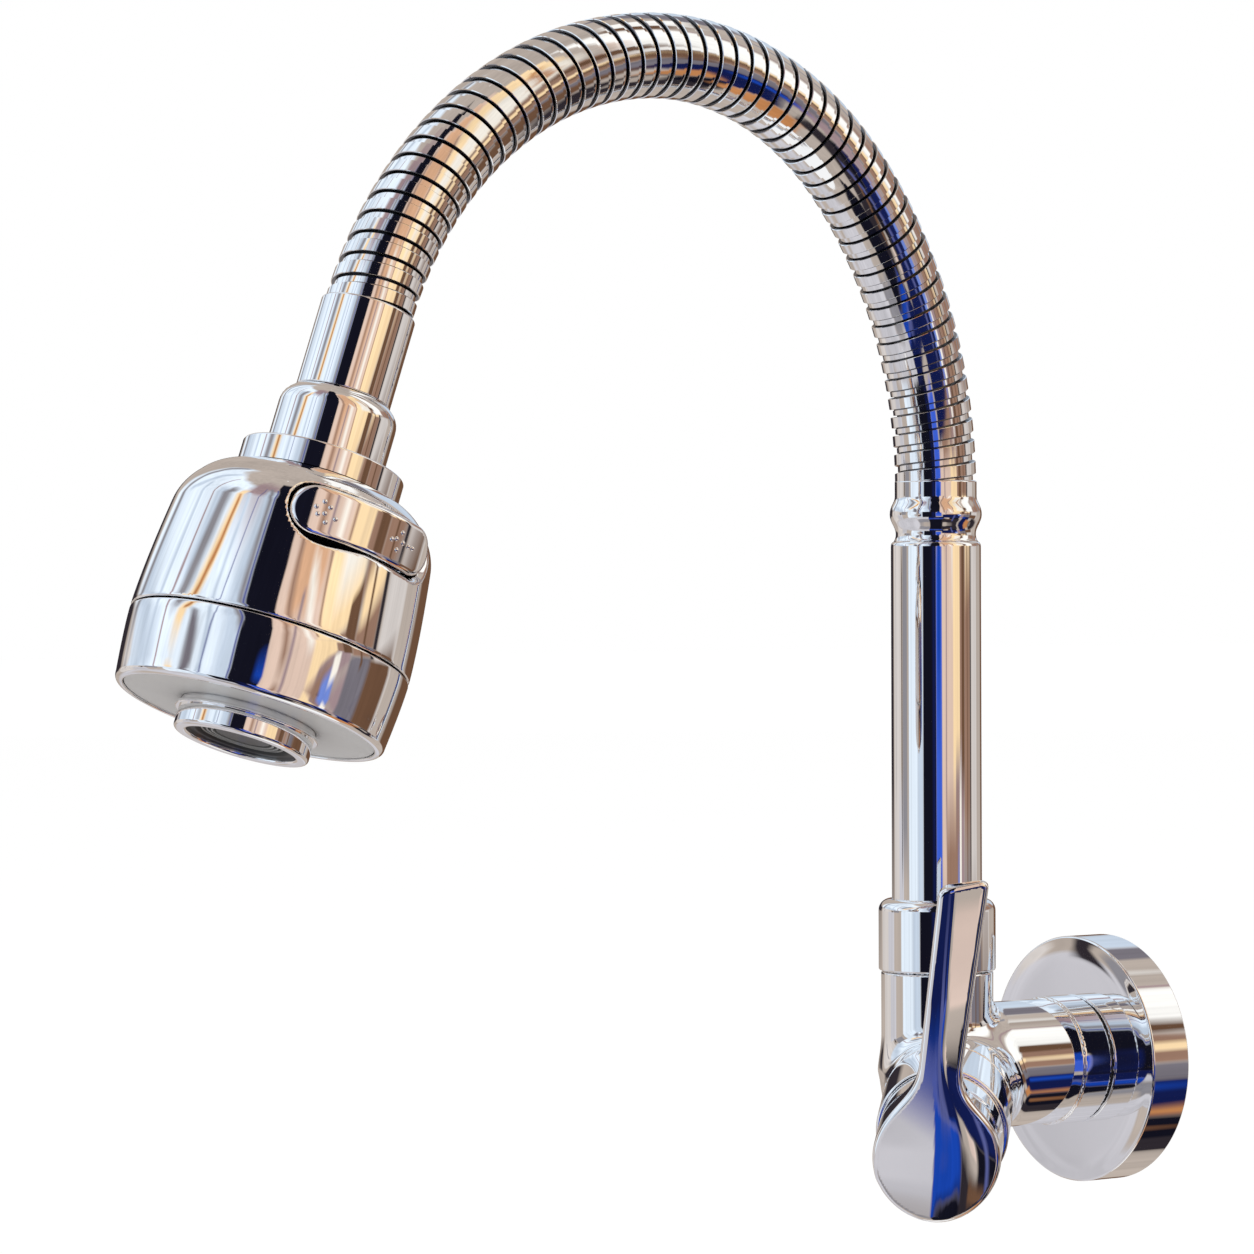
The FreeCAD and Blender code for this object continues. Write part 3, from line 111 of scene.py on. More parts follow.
START = (0.0, 0.0, 0.0)
ALONG_WALL = (1.0, 0.0, 0.0)
UP = (0.0, 0.0, 1.0)
WALL_TO_PIPE = 54.8
VALVE_TO_WALL = 4.7
VALVE_DROP = 3.5
VALVE_AZIMUTH = math.radians(47.0)
VALVE_DIP = math.radians(12.0)
SPOUT_TURN = math.radians(6.0)
OUTWARD = Vector((math.sin(SPOUT_TURN), -math.cos(SPOUT_TURN), 0.0))
SIDEWAYS = Vector((math.cos(SPOUT_TURN), math.sin(SPOUT_TURN), 0.0))
FRAME = Axes.along(START, UP, ALONG_WALL)
WALL = Axes.along(START, (0.0, -1.0, 0.0), ALONG_WALL)
PIPE = Axes.along((0.0, -WALL_TO_PIPE, 0.0), UP, ALONG_WALL)
VALVE = Axes.along(
    (0.0, -WALL_TO_PIPE + VALVE_TO_WALL, -VALVE_DROP),
    (math.sin(VALVE_AZIMUTH) * math.cos(VALVE_DIP), -math.cos(VALVE_AZIMUTH) * math.cos(VALVE_DIP),
     -math.sin(VALVE_DIP)),
    (math.cos(VALVE_AZIMUTH), math.sin(VALVE_AZIMUTH), 0.0),
)


@dataclass(frozen=True)
class Arch:
    """Centreline of the gooseneck: bends of a radius and an angle in the spout's upright plane."""

    start: float = 142.0
    bends: tuple[tuple[float, float], ...] = ((109.75, 42.0), (79.4, 50.88), (95.85, 66.52))

    @property
    def length(self) -> float:
        """Length of the bends together."""
        return sum(radius * math.radians(angle) for radius, angle in self.bends)

    def at(self, distance: np.ndarray) -> tuple[np.ndarray, np.ndarray]:
        """Points and headings at distances from the start.

        Args:
            distance: Distances along the centreline.

        Returns:
            The points as reach and height, and the headings in radians, where up is a right angle.
        """
        reach = np.zeros_like(distance)
        height = self.start + np.minimum(distance, 0.0)
        heading = np.full_like(distance, math.pi / 2)
        left = np.maximum(distance, 0.0)
        for radius, degrees in self.bends:
            step = np.minimum(math.radians(degrees), left / radius)
            following = heading - step
            reach = reach + radius * (np.sin(heading) - np.sin(following))
            height = height + radius * (np.cos(following) - np.cos(heading))
            heading = following
            left = np.maximum(left - radius * math.radians(degrees), 0.0)
        reach = reach + np.cos(heading) * left
        height = height + np.sin(heading) * left
        return np.stack([reach, height], axis=-1), heading

    def end_axes(self) -> Axes:
        """Axes at the end of the bends.

        Returns:
            Axes with Z on along the hose and X to the spout's side.
        """
        points, heading = self.at(np.array([self.length]))
        reach, height = points[0]
        origin = Vector(PIPE.origin) + OUTWARD * float(reach) + Vector(UP) * float(height)
        angle = float(heading[0])
        down = OUTWARD * math.cos(angle) + Vector(UP) * math.sin(angle)
        return Axes.along(origin, down, SIDEWAYS)


ARCH = Arch()
BUTTON_TURN = 6.0
HEAD = ARCH.end_axes().turned(BUTTON_TURN)


# Meshes
def put_in(name: str, data: bpy.types.ID) -> bpy.types.Object:
    """Makes an object of the data and links it to the scene.

    Args:
        name: Name of the object.
        data: Its mesh, lamp or camera.

    Returns:
        The new object.
    """
    thing = bpy.data.objects.new(name, data)
    bpy.context.scene.collection.objects.link(thing)
    return thing


def add_mesh(name: str, points: np.ndarray, faces: list[tuple[int, ...]], normals: np.ndarray | None,
             per_corner: bool) -> bpy.types.Object:
    """Makes an object from points in the frame's millimetres.

    Args:
        name: Name of the piece.
        points: One row for each point.
        faces: Point numbers of each face.
        normals: Normals per face corner or per point.
        per_corner: True where the normals are per face corner.

    Returns:
        The new object, linked to the scene.
    """
    mesh = bpy.data.meshes.new(name)
    mesh.from_pydata((points * MM).tolist(), [], faces)
    mesh.validate()
    mesh.shade_smooth()
    if normals is not None:
        if per_corner:
            mesh.normals_split_custom_set(normals.tolist())
        else:
            mesh.normals_split_custom_set_from_vertices(normals.tolist())
    return put_in(name, mesh)


ROUND_STEP = 10
FEWEST_STEPS = 3


@dataclass(frozen=True)
class Corner:
    """A corner of a turned piece's half section: radius, height, its rounding, or a point of a curve."""

    r: float
    z: float
    round: float = 0.0
    curve: bool = False


def curve_of(points: Sequence[tuple[float, float]], level: float = 0.0) -> list[Corner]:
    """Corners of a smooth curve through points, with a level added to their heights."""
    return [Corner(r, level + z, 0.0, True) for r, z in points]


def unit(vector: np.ndarray) -> np.ndarray:
    """The vector at length one."""
    return vector / max(float(np.linalg.norm(vector)), TINY ** 2)


def outward(step: np.ndarray) -> np.ndarray:
    """The outward normal of a side that runs along the step."""
    return unit(np.array([step[1], -step[0]]))


def section_points(corners: Sequence[Corner]) -> list[tuple[np.ndarray, np.ndarray, np.ndarray]]:
    """Points of a closed half section, with the normals before and after each.

    Args:
        corners: Corners in turn, with the metal on the left.

    Returns:
        Point, normal of the side that arrives and normal of the side that leaves.
    """
    result = []
    count = len(corners)
    for i, corner in enumerate(corners):
        here = np.array([corner.r, corner.z])
        before = np.array([corners[i - 1].r, corners[i - 1].z])
        after = np.array([corners[(i + 1) % count].r, corners[(i + 1) % count].z])
        normal_in = outward(here - before)
        normal_out = outward(after - here)
        if corner.curve:
            middle = unit(normal_in + normal_out)
            result.append((here, middle, middle))
            continue
        if corner.round <= 0.0:
            result.append((here, normal_in, normal_out))
            continue
        turn = math.atan2(normal_in[0] * normal_out[1] - normal_in[1] * normal_out[0],
                          float(normal_in @ normal_out))
        reach = corner.round * math.tan(abs(turn) / 2)
        start = here - unit(here - before) * reach
        centre = start - normal_in * math.copysign(corner.round, turn)
        steps = max(FEWEST_STEPS, int(abs(math.degrees(turn)) / ROUND_STEP))
        for k in range(steps + 1):
            angle = turn * k / steps
            normal = np.array([normal_in[0] * math.cos(angle) - normal_in[1] * math.sin(angle),
                               normal_in[0] * math.sin(angle) + normal_in[1] * math.cos(angle)])
            result.append((centre + normal * math.copysign(corner.round, turn), normal, normal))
    return result


def turned_piece(name: str, axes: Axes, corners: Sequence[Corner], sides: int = 144) -> bpy.types.Object:
    """A piece turned about the Z of its axes, with exact normals.

    Args:
        name: Name of the piece.
        axes: Axes of the piece.
        corners: Closed half section with the metal on the left.
        sides: Steps round the axis.

    Returns:
        The new object.
    """
    section = section_points(corners)
    count = len(section)
    angles = np.arange(sides) * 2 * math.pi / sides
    spin = np.stack([np.cos(angles), np.sin(angles)], axis=1)
    points = np.zeros((count, sides, 3))
    for i, (place, _, _) in enumerate(section):
        points[i, :, :2] = spin * place[0]
        points[i, :, 2] = place[1]
    faces = []
    normals = []
    for i in range(count):
        j = (i + 1) % count
        start, _, normal_a = section[i]
        end, normal_b, _ = section[j]
        if np.linalg.norm(start - end) < TINY or (start[0] < TINY and end[0] < TINY):
            continue
        for k in range(sides):
            m = (k + 1) % sides
            spin_k = (*spin[k],)
            spin_m = (*spin[m],)
            quad = [(i, k, normal_a, spin_k), (i, m, normal_a, spin_m), (j, m, normal_b, spin_m),
                    (j, k, normal_b, spin_k)]
            if start[0] < TINY:
                quad = [(i, 0, normal_a, spin_k), quad[2], quad[3]]
            elif end[0] < TINY:
                quad = [quad[0], quad[1], (j, 0, normal_b, spin_k)]
            faces.append(tuple(p * sides + q for p, q, _, _ in quad))
            normals.extend((n[0] * s[0], n[0] * s[1], n[1]) for _, _, n, s in quad)
    used = sorted({index for face in faces for index in face})
    number = {old: new for new, old in enumerate(used)}
    faces = [tuple(number[index] for index in face) for face in faces]
    flat = points.reshape(-1, 3)[used]
    return add_mesh(name, axes.to_world(flat), faces, axes.directions(np.array(normals)), True)


# Solids described by their distance field, for castings and moulded shapes
FAR = 50.0


def soft_union(a: np.ndarray, b: np.ndarray, blend: float) -> np.ndarray:
    """Two fields joined with a rounded blend."""
    share = np.clip(0.5 + 0.5 * (b - a) / blend, 0.0, 1.0)
    return b * (1 - share) + a * share - blend * share * (1 - share)


def soft_common(a: np.ndarray, b: np.ndarray, blend: float) -> np.ndarray:
    """The common part of two fields, its edge rounded."""
    return -soft_union(-a, -b, blend)


def rod(points: np.ndarray, radius: float, low: float, high: float, edge: float = 0.0) -> np.ndarray:
    """Distance to a cylinder along Z.

    Args:
        points: Points in the cylinder's axes.
        radius: Its radius.
        low: Height of its lower end.
        high: Height of its upper end.
        edge: Rounding of its edges.

    Returns:
        The distance at each point, negative inside.
    """
    across = np.hypot(points[:, 0], points[:, 1]) - (radius - edge)
    along = np.abs(points[:, 2] - (low + high) / 2) - ((high - low) / 2 - edge)
    return rounded(across, along) - edge


def rounded(a: np.ndarray, b: np.ndarray) -> np.ndarray:
    """The common part of two fields at right angles, with true distances outside its corner."""
    return np.hypot(np.maximum(a, 0.0), np.maximum(b, 0.0)) + np.minimum(np.maximum(a, b), 0.0)


def stadium(across: np.ndarray, up: np.ndarray, half_length: np.ndarray | float,
            half_height: np.ndarray | float) -> np.ndarray:
    """Distance to an outline with round ends."""
    beyond = np.maximum(np.abs(across) - (half_length - half_height), 0.0)
    return np.hypot(beyond, up) - half_height


def smooth_between(places: Sequence[float], values: Sequence[float], at: np.ndarray) -> np.ndarray:
    """A smooth curve through values at places.

    Args:
        places: Rising places.
        values: The value at each place.
        at: Where the curve is wanted.

    Returns:
        The curve's values.
    """
    x = np.array(places)
    y = np.array(values)
    slopes = np.gradient(y, x)
    at = np.clip(at, x[0], x[-1])
    index = np.clip(np.searchsorted(x, at) - 1, 0, len(x) - 2)
    width = x[index + 1] - x[index]
    t = (at - x[index]) / width
    first = (2 * t ** 3 - 3 * t ** 2 + 1) * y[index] + (t ** 3 - 2 * t ** 2 + t) * width * slopes[index]
    second = (3 * t ** 2 - 2 * t ** 3) * y[index + 1] + (t ** 3 - t ** 2) * width * slopes[index + 1]
    return first + second


SLOPE_REACH = 0.02
LEAST_SLOPE = 0.2
PULLS = 5


def slope_of(field: Field, points: np.ndarray) -> np.ndarray:
    """Gradient of a field.

    Args:
        field: Distance field.
        points: Where the gradient is wanted.

    Returns:
        The gradient at each point.
    """
    result = np.zeros_like(points)
    for axis in range(3):
        shift = np.zeros(3)
        shift[axis] = SLOPE_REACH
        result[:, axis] = (field(points + shift) - field(points - shift)) / (2 * SLOPE_REACH)
    return result


@dataclass(frozen=True)
class Region:
    """The box that a net is laid in, from its lowest to its highest corner, and the size of its cells."""

    low: tuple[float, float, float]
    high: tuple[float, float, float]
    pitch: float


def net_of(field: Field, region: Region) -> tuple[np.ndarray, list[tuple[int, ...]], np.ndarray]:
    """A closed net of quads on a field's surface, in the field's own axes.

    Args:
        field: Distance field, negative inside.
        region: Where the net is laid.

    Returns:
        Points, faces and the normals at the points.
    """
    pitch = region.pitch
    ticks = [np.arange(a, b + pitch, pitch) for a, b in zip(region.low, region.high)]
    grid = np.stack(np.meshgrid(*ticks, indexing="ij"), axis=-1)
    shape = grid.shape[:3]
    values = field(grid.reshape(-1, 3)).reshape(shape)
    inside = values < 0
    corners = [(i, j, k) for i in (0, 1) for j in (0, 1) for k in (0, 1)]
    cell_shape = tuple(n - 1 for n in shape)

    def corner_of(array: np.ndarray, corner: tuple[int, int, int]) -> np.ndarray:
        """The values at one corner of every cell."""
        i, j, k = corner
        return array[i:i + cell_shape[0], j:j + cell_shape[1], k:k + cell_shape[2]]

    # One point in every cell that the surface passes through
    total = sum(corner_of(inside, c).astype(int) for c in corners)
    cells = np.argwhere((total > 0) & (total < len(corners)))
    number = np.full(cell_shape, -1)
    number[tuple(cells.T)] = np.arange(len(cells))
    sums = np.zeros((len(cells), 3))
    hits = np.zeros(len(cells))
    for a in corners:
        for b in corners:
            if b <= a or sum(abs(p - q) for p, q in zip(a, b)) != 1:
                continue
            value_a = values[tuple((cells + a).T)]
            value_b = values[tuple((cells + b).T)]
            crossing = (value_a < 0) != (value_b < 0)
            share = np.where(crossing, value_a / np.where(crossing, value_a - value_b, 1.0), 0.0)
            place = np.array(a) + share[:, None] * (np.array(b) - np.array(a))
            sums += place * crossing[:, None]
            hits += crossing
    points = np.array([t[0] for t in ticks]) + (cells + sums / hits[:, None]) * pitch
    # One quad round every edge of the grid that the surface crosses
    faces = []
    for axis in range(3):
        other, third = (axis + 1) % 3, (axis + 2) % 3
        ahead = np.roll(inside, -1, axis)
        change = inside != ahead
        spots = np.argwhere(change)
        limits = [shape[axis] - 1 if n == axis else cell_shape[n] for n in range(3)]
        keep = (spots[:, axis] < limits[axis]) & (spots[:, other] > 0) & (spots[:, third] > 0)
        keep &= (spots[:, other] < limits[other]) & (spots[:, third] < limits[third])
        spots = spots[keep]
        quad = []
        for step_other, step_third in ((-1, -1), (0, -1), (0, 0), (-1, 0)):
            cell = spots.copy()
            cell[:, other] += step_other
            cell[:, third] += step_third
            quad.append(number[tuple(cell.T)])
        quad = np.stack(quad, axis=1)
        backward = ~inside[tuple(spots.T)]
        quad[backward] = quad[backward][:, ::-1]
        faces.extend(map(tuple, quad[(quad >= 0).all(axis=1)].tolist()))
    # The points are pulled onto the surface
    for _ in range(PULLS):
        slope = slope_of(field, points)
        size = np.maximum((slope ** 2).sum(axis=1), LEAST_SLOPE)
        step = -(field(points) / size)[:, None] * slope
        points = points + np.clip(step, -pitch / 2, pitch / 2)
    slope = slope_of(field, points)
    normals = slope / np.maximum(np.linalg.norm(slope, axis=1), TINY)[:, None]
    return points, faces, normals


def cast_piece(name: str, axes: Axes, field: Field, region: Region) -> bpy.types.Object:
    """A piece from a distance field in its axes.

    Args:
        name: Name of the piece.
        axes: Axes of the field.
        field: Distance field.
        region: Where the field's surface lies.

    Returns:
        The new object.
    """
    points, faces, normals = net_of(field, region)
    return add_mesh(name, axes.to_world(points), faces, axes.directions(normals), False)


# Shader nodes
class Value:
    """A number's socket that sums can be written with."""

    def __init__(self, graph: "Graph", socket: bpy.types.NodeSocket) -> None:
        """Wraps a socket of a graph."""
        self.graph = graph
        self.socket = socket

    def math(self, operation: str, *others: "float | Value") -> "Value":
        """The result of a Math node on this value and others."""
        node = self.graph.node("ShaderNodeMath", {"operation": operation},
                               dict(enumerate((self, *others))))
        return Value(self.graph, node.outputs[0])

    def __add__(self, other: "float | Value") -> "Value":
        """Sum."""
        return self.math("ADD", other)

    def __radd__(self, other: "float | Value") -> "Value":
        """Sum."""
        return self.math("ADD", other)

    def __sub__(self, other: "float | Value") -> "Value":
        """Difference."""
        return self.math("SUBTRACT", other)

    def __rsub__(self, other: "float | Value") -> "Value":
        """Difference from a number."""
        return (self * -1.0) + other

    def __mul__(self, other: "float | Value") -> "Value":
        """Product."""
        return self.math("MULTIPLY", other)

    def __rmul__(self, other: "float | Value") -> "Value":
        """Product."""
        return self.math("MULTIPLY", other)

    def __truediv__(self, other: "float | Value") -> "Value":
        """Quotient."""
        return self.math("DIVIDE", other)

    def between(self, low: float, high: float) -> "Value":
        """Nought below low, one above high and a straight slope between them."""
        node = self.graph.node("ShaderNodeMapRange", {"clamp": True},
                               {"Value": self, "From Min": low, "From Max": high})
        return Value(self.graph, node.outputs[0])


class Graph:
    """The nodes of one material or of the world."""

    def __init__(self, tree: bpy.types.NodeTree) -> None:
        """Starts an empty tree."""
        self.tree = tree
        tree.nodes.clear()

    def node(self, kind: str, settings: dict | None = None, inputs: dict | None = None) -> bpy.types.Node:
        """Adds a node.

        Args:
            kind: The node's type.
            settings: Its settings, which are set first.
            inputs: Values or links of its sockets, by name or number.

        Returns:
            The new node.
        """
        node = self.tree.nodes.new(kind)
        for name, setting in (settings or {}).items():
            setattr(node, name, setting)
        for name, plug in (inputs or {}).items():
            socket = node.inputs[name]
            source = plug.socket if isinstance(plug, Value) else plug
            if isinstance(source, bpy.types.NodeSocket):
                self.tree.links.new(source, socket)
            else:
                socket.default_value = source
        return node

    def place(self) -> bpy.types.NodeSocket:
        """Coordinates that stay with the piece."""
        return self.node("ShaderNodeTexCoord").outputs["Object"]

    def noise(self, scale: float, detail: float = 3.0, stretch: tuple[float, float, float] | None = None,
              rough: float = 0.5) -> Value:
        """Noise on the piece's coordinates.

        Args:
            scale: Waves per metre.
            detail: Octaves.
            stretch: Scale along each axis.
            rough: Strength of the finer octaves.

        Returns:
            The noise from nought to one.
        """
        place = self.place()
        if stretch is not None:
            place = self.node("ShaderNodeMapping", None, {"Vector": place, "Scale": stretch}).outputs[0]
        node = self.node("ShaderNodeTexNoise", None,
                         {"Vector": place, "Scale": scale, "Detail": detail, "Roughness": rough})
        return Value(self, node.outputs["Fac"])

    def mix(self, share: "float | Value", first: "bpy.types.NodeSocket | tuple[float, ...]",
            second: "bpy.types.NodeSocket | tuple[float, ...]", blend: str = "MIX"
            ) -> bpy.types.NodeSocket:
        """A colour between two colours, from the numbered colour sockets of a Mix node."""
        return self.node("ShaderNodeMix", {"data_type": "RGBA", "blend_type": blend},
                         {0: share, 6: first, 7: second}).outputs[2]

    def bump(self, height: Value, distance: float) -> bpy.types.NodeSocket:
        """A normal with the height's relief."""
        return self.node("ShaderNodeBump", None, {"Height": height, "Distance": distance}).outputs[0]


Colour = tuple[float, float, float]
MIDDLE = (0.3, 0.7)


def solid(colour: Colour) -> tuple[float, float, float, float]:
    """The colour with full cover."""
    return (*colour, 1.0)


def new_material(name: str) -> tuple[bpy.types.Material, Graph]:
    """Makes an empty material.

    Args:
        name: Name of the material.

    Returns:
        The material and the graph of its nodes.
    """
    material = bpy.data.materials.new(name)
    material.use_nodes = True
    return material, Graph(material.node_tree)


@dataclass(frozen=True)
class Finish:
    """A surface: two colours that drift into each other, its gloss and its fine relief."""

    name: str
    colour: Colour
    second: Colour
    metallic: float
    roughness: float
    spread: float
    grain: float
    relief: float

    CLOUD_SCALE = 0.05
    CLOUD_IN_COLOUR = 0.7
    CLOUD_IN_GLOSS = 0.6

    def build(self) -> bpy.types.Material:
        """Makes the material once.

        Returns:
            The material.
        """
        known = bpy.data.materials.get(self.name)
        if known is not None:
            return known
        material, graph = new_material(self.name)
        cloud = graph.noise(self.grain * self.CLOUD_SCALE)
        grain = graph.noise(self.grain, detail=4.0)
        share = cloud * self.CLOUD_IN_COLOUR + grain * (1 - self.CLOUD_IN_COLOUR)
        gloss = cloud * self.CLOUD_IN_GLOSS + grain * (1 - self.CLOUD_IN_GLOSS)
        shader = graph.node("ShaderNodeBsdfPrincipled", None, {
            "Base Color": graph.mix(share.between(*MIDDLE), solid(self.colour), solid(self.second)),
            "Metallic": self.metallic,
            "Roughness": gloss * (self.spread * 2) + (self.roughness - self.spread),
            "Normal": graph.bump(grain, self.relief),
        })
        graph.node("ShaderNodeOutputMaterial", None, {"Surface": shader.outputs[0]})
        return material


class Finishes(Enum):
    """Every finish on the tap."""

    CHROME = Finish("polished_chrome", (0.93, 0.935, 0.945), (0.9, 0.91, 0.925), 1.0, 0.03, 0.015,
                    900.0, 1e-7)
    PLATED = Finish("plated_moulding", (0.935, 0.94, 0.95), (0.9, 0.91, 0.93), 1.0, 0.03, 0.015,
                    700.0, 1.5e-7)
    STRIP = Finish("wound_strip", (0.92, 0.925, 0.935), (0.88, 0.89, 0.905), 1.0, 0.06, 0.03, 1500.0, 8e-7)
    # Painted shade: this dark grey stands in for the shadow in the groove between the hose's turns
    SHADED_RECESS = Finish("strip_recess_painted_shade", (0.15, 0.155, 0.17), (0.2, 0.205, 0.22), 1.0, 0.25, 0.08, 1500.0, 8e-7)
    RUBBER = Finish("black_rubber", (0.012, 0.012, 0.013), (0.022, 0.022, 0.023), 0.0, 0.55, 0.1,
                    2500.0, 6e-6)
    FACE = Finish("grey_face", (0.43, 0.42, 0.41), (0.47, 0.46, 0.45), 0.0, 0.42, 0.06, 3000.0, 5e-6)
    INSERT = Finish("grey_insert", (0.10, 0.10, 0.10), (0.14, 0.14, 0.135), 0.0, 0.3, 0.08, 3000.0, 4e-6)
    SCREEN = Finish("fine_screen", (0.03, 0.03, 0.03), (0.06, 0.06, 0.056), 0.4, 0.4, 0.1, 5000.0, 2e-5)
    BRASS = Finish("turned_brass", (0.78, 0.58, 0.28), (0.70, 0.50, 0.22), 1.0, 0.28, 0.08, 1500.0, 3e-6)
    CERAMIC = Finish("lapped_ceramic", (0.86, 0.85, 0.81), (0.9, 0.89, 0.86), 0.0, 0.2, 0.05, 2000.0, 1e-6)
    STEEL = Finish("plain_steel", (0.56, 0.57, 0.58), (0.62, 0.62, 0.63), 1.0, 0.3, 0.08, 1800.0, 2e-6)
    WHITE = Finish("white_moulding", (0.82, 0.82, 0.8), (0.87, 0.87, 0.85), 0.0, 0.4, 0.08, 2200.0, 4e-6)
    BLACK = Finish("black_moulding", (0.02, 0.02, 0.021), (0.03, 0.03, 0.031), 0.0, 0.4, 0.08, 2200.0, 5e-6)
    HOSE = Finish("milky_hose", (0.74, 0.74, 0.71), (0.8, 0.8, 0.77), 0.0, 0.35, 0.06, 2000.0, 3e-6)


def dress(piece: bpy.types.Object, finish: Finishes) -> None:
    """Gives a piece or a node its finish."""
    piece.data.materials.clear()
    piece.data.materials.append(finish.value.build())


class Slot(Enum):
    """Material slots of the record."""

    CHROME = "chrome"
    PLATED = "plated_plastic"
    RUBBER = "rubber"
    GREY = "grey_plastic"
    STEEL = "steel"


def place_piece(piece: bpy.types.Object, body: str, slot: Slot, finish: Finishes, *nodes: str) -> None:
    """Dresses a new piece and ties it to its body and nodes.

    Args:
        piece: The piece.
        body: Body that it rides on.
        slot: Record slot of its material; not used.
        finish: Its finish.
        nodes: Nodes that it stands for.
    """
    dress(piece, finish)
    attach(piece, body)
    if nodes:
        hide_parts(*nodes)
    LOG.info("piece %s on %s, %d faces", piece.name, body, len(piece.data.polygons))


# Wall flange and its washer
@dataclass
class WallSide:
    """The flange on the wall and the black washer on its face."""

    flange_radius: float = 30.6
    depth: float = 11.8
    wall: float = 1.5
    edge: float = 0.55
    inner_round: float = 1.0
    back_edge: float = 0.3
    hole: float = 10.8
    rim_drop: float = 0.36
    # Radius, and how far the face lies behind its middle there
    slope: tuple[tuple[float, float], ...] = ((29.6, -0.3), (28.4, -0.17), (27.0, -0.07), (25.4, -0.02),
                                              (23.5, 0.0))
    washer_radius: float = 15.4
    washer_thickness: float = 0.5
    washer_edge: float = 0.2
    sides: int = 192

    def build(self) -> None:
        """Makes the flange and the washer."""
        rim = self.flange_radius - self.wall
        flange = turned_piece("flange_cover", WALL, (
            Corner(self.hole, self.depth - self.wall), Corner(rim, self.depth - self.wall, self.inner_round),
            Corner(rim, 0.0), Corner(self.flange_radius, 0.0, self.back_edge),
            Corner(self.flange_radius, self.depth - self.rim_drop, self.edge),
            *curve_of(self.slope, self.depth), Corner(self.hole, self.depth),
        ), self.sides)
        place_piece(flange, "body", Slot.CHROME, Finishes.CHROME, "wall_flange")
        washer_face = self.depth + self.washer_thickness
        washer = turned_piece("flange_washer", WALL, (
            Corner(self.hole, self.depth), Corner(self.washer_radius, self.depth),
            Corner(self.washer_radius, washer_face, self.washer_edge), Corner(self.hole, washer_face),
        ))
        place_piece(washer, "body", Slot.RUBBER, Finishes.RUBBER, "arm_washer")


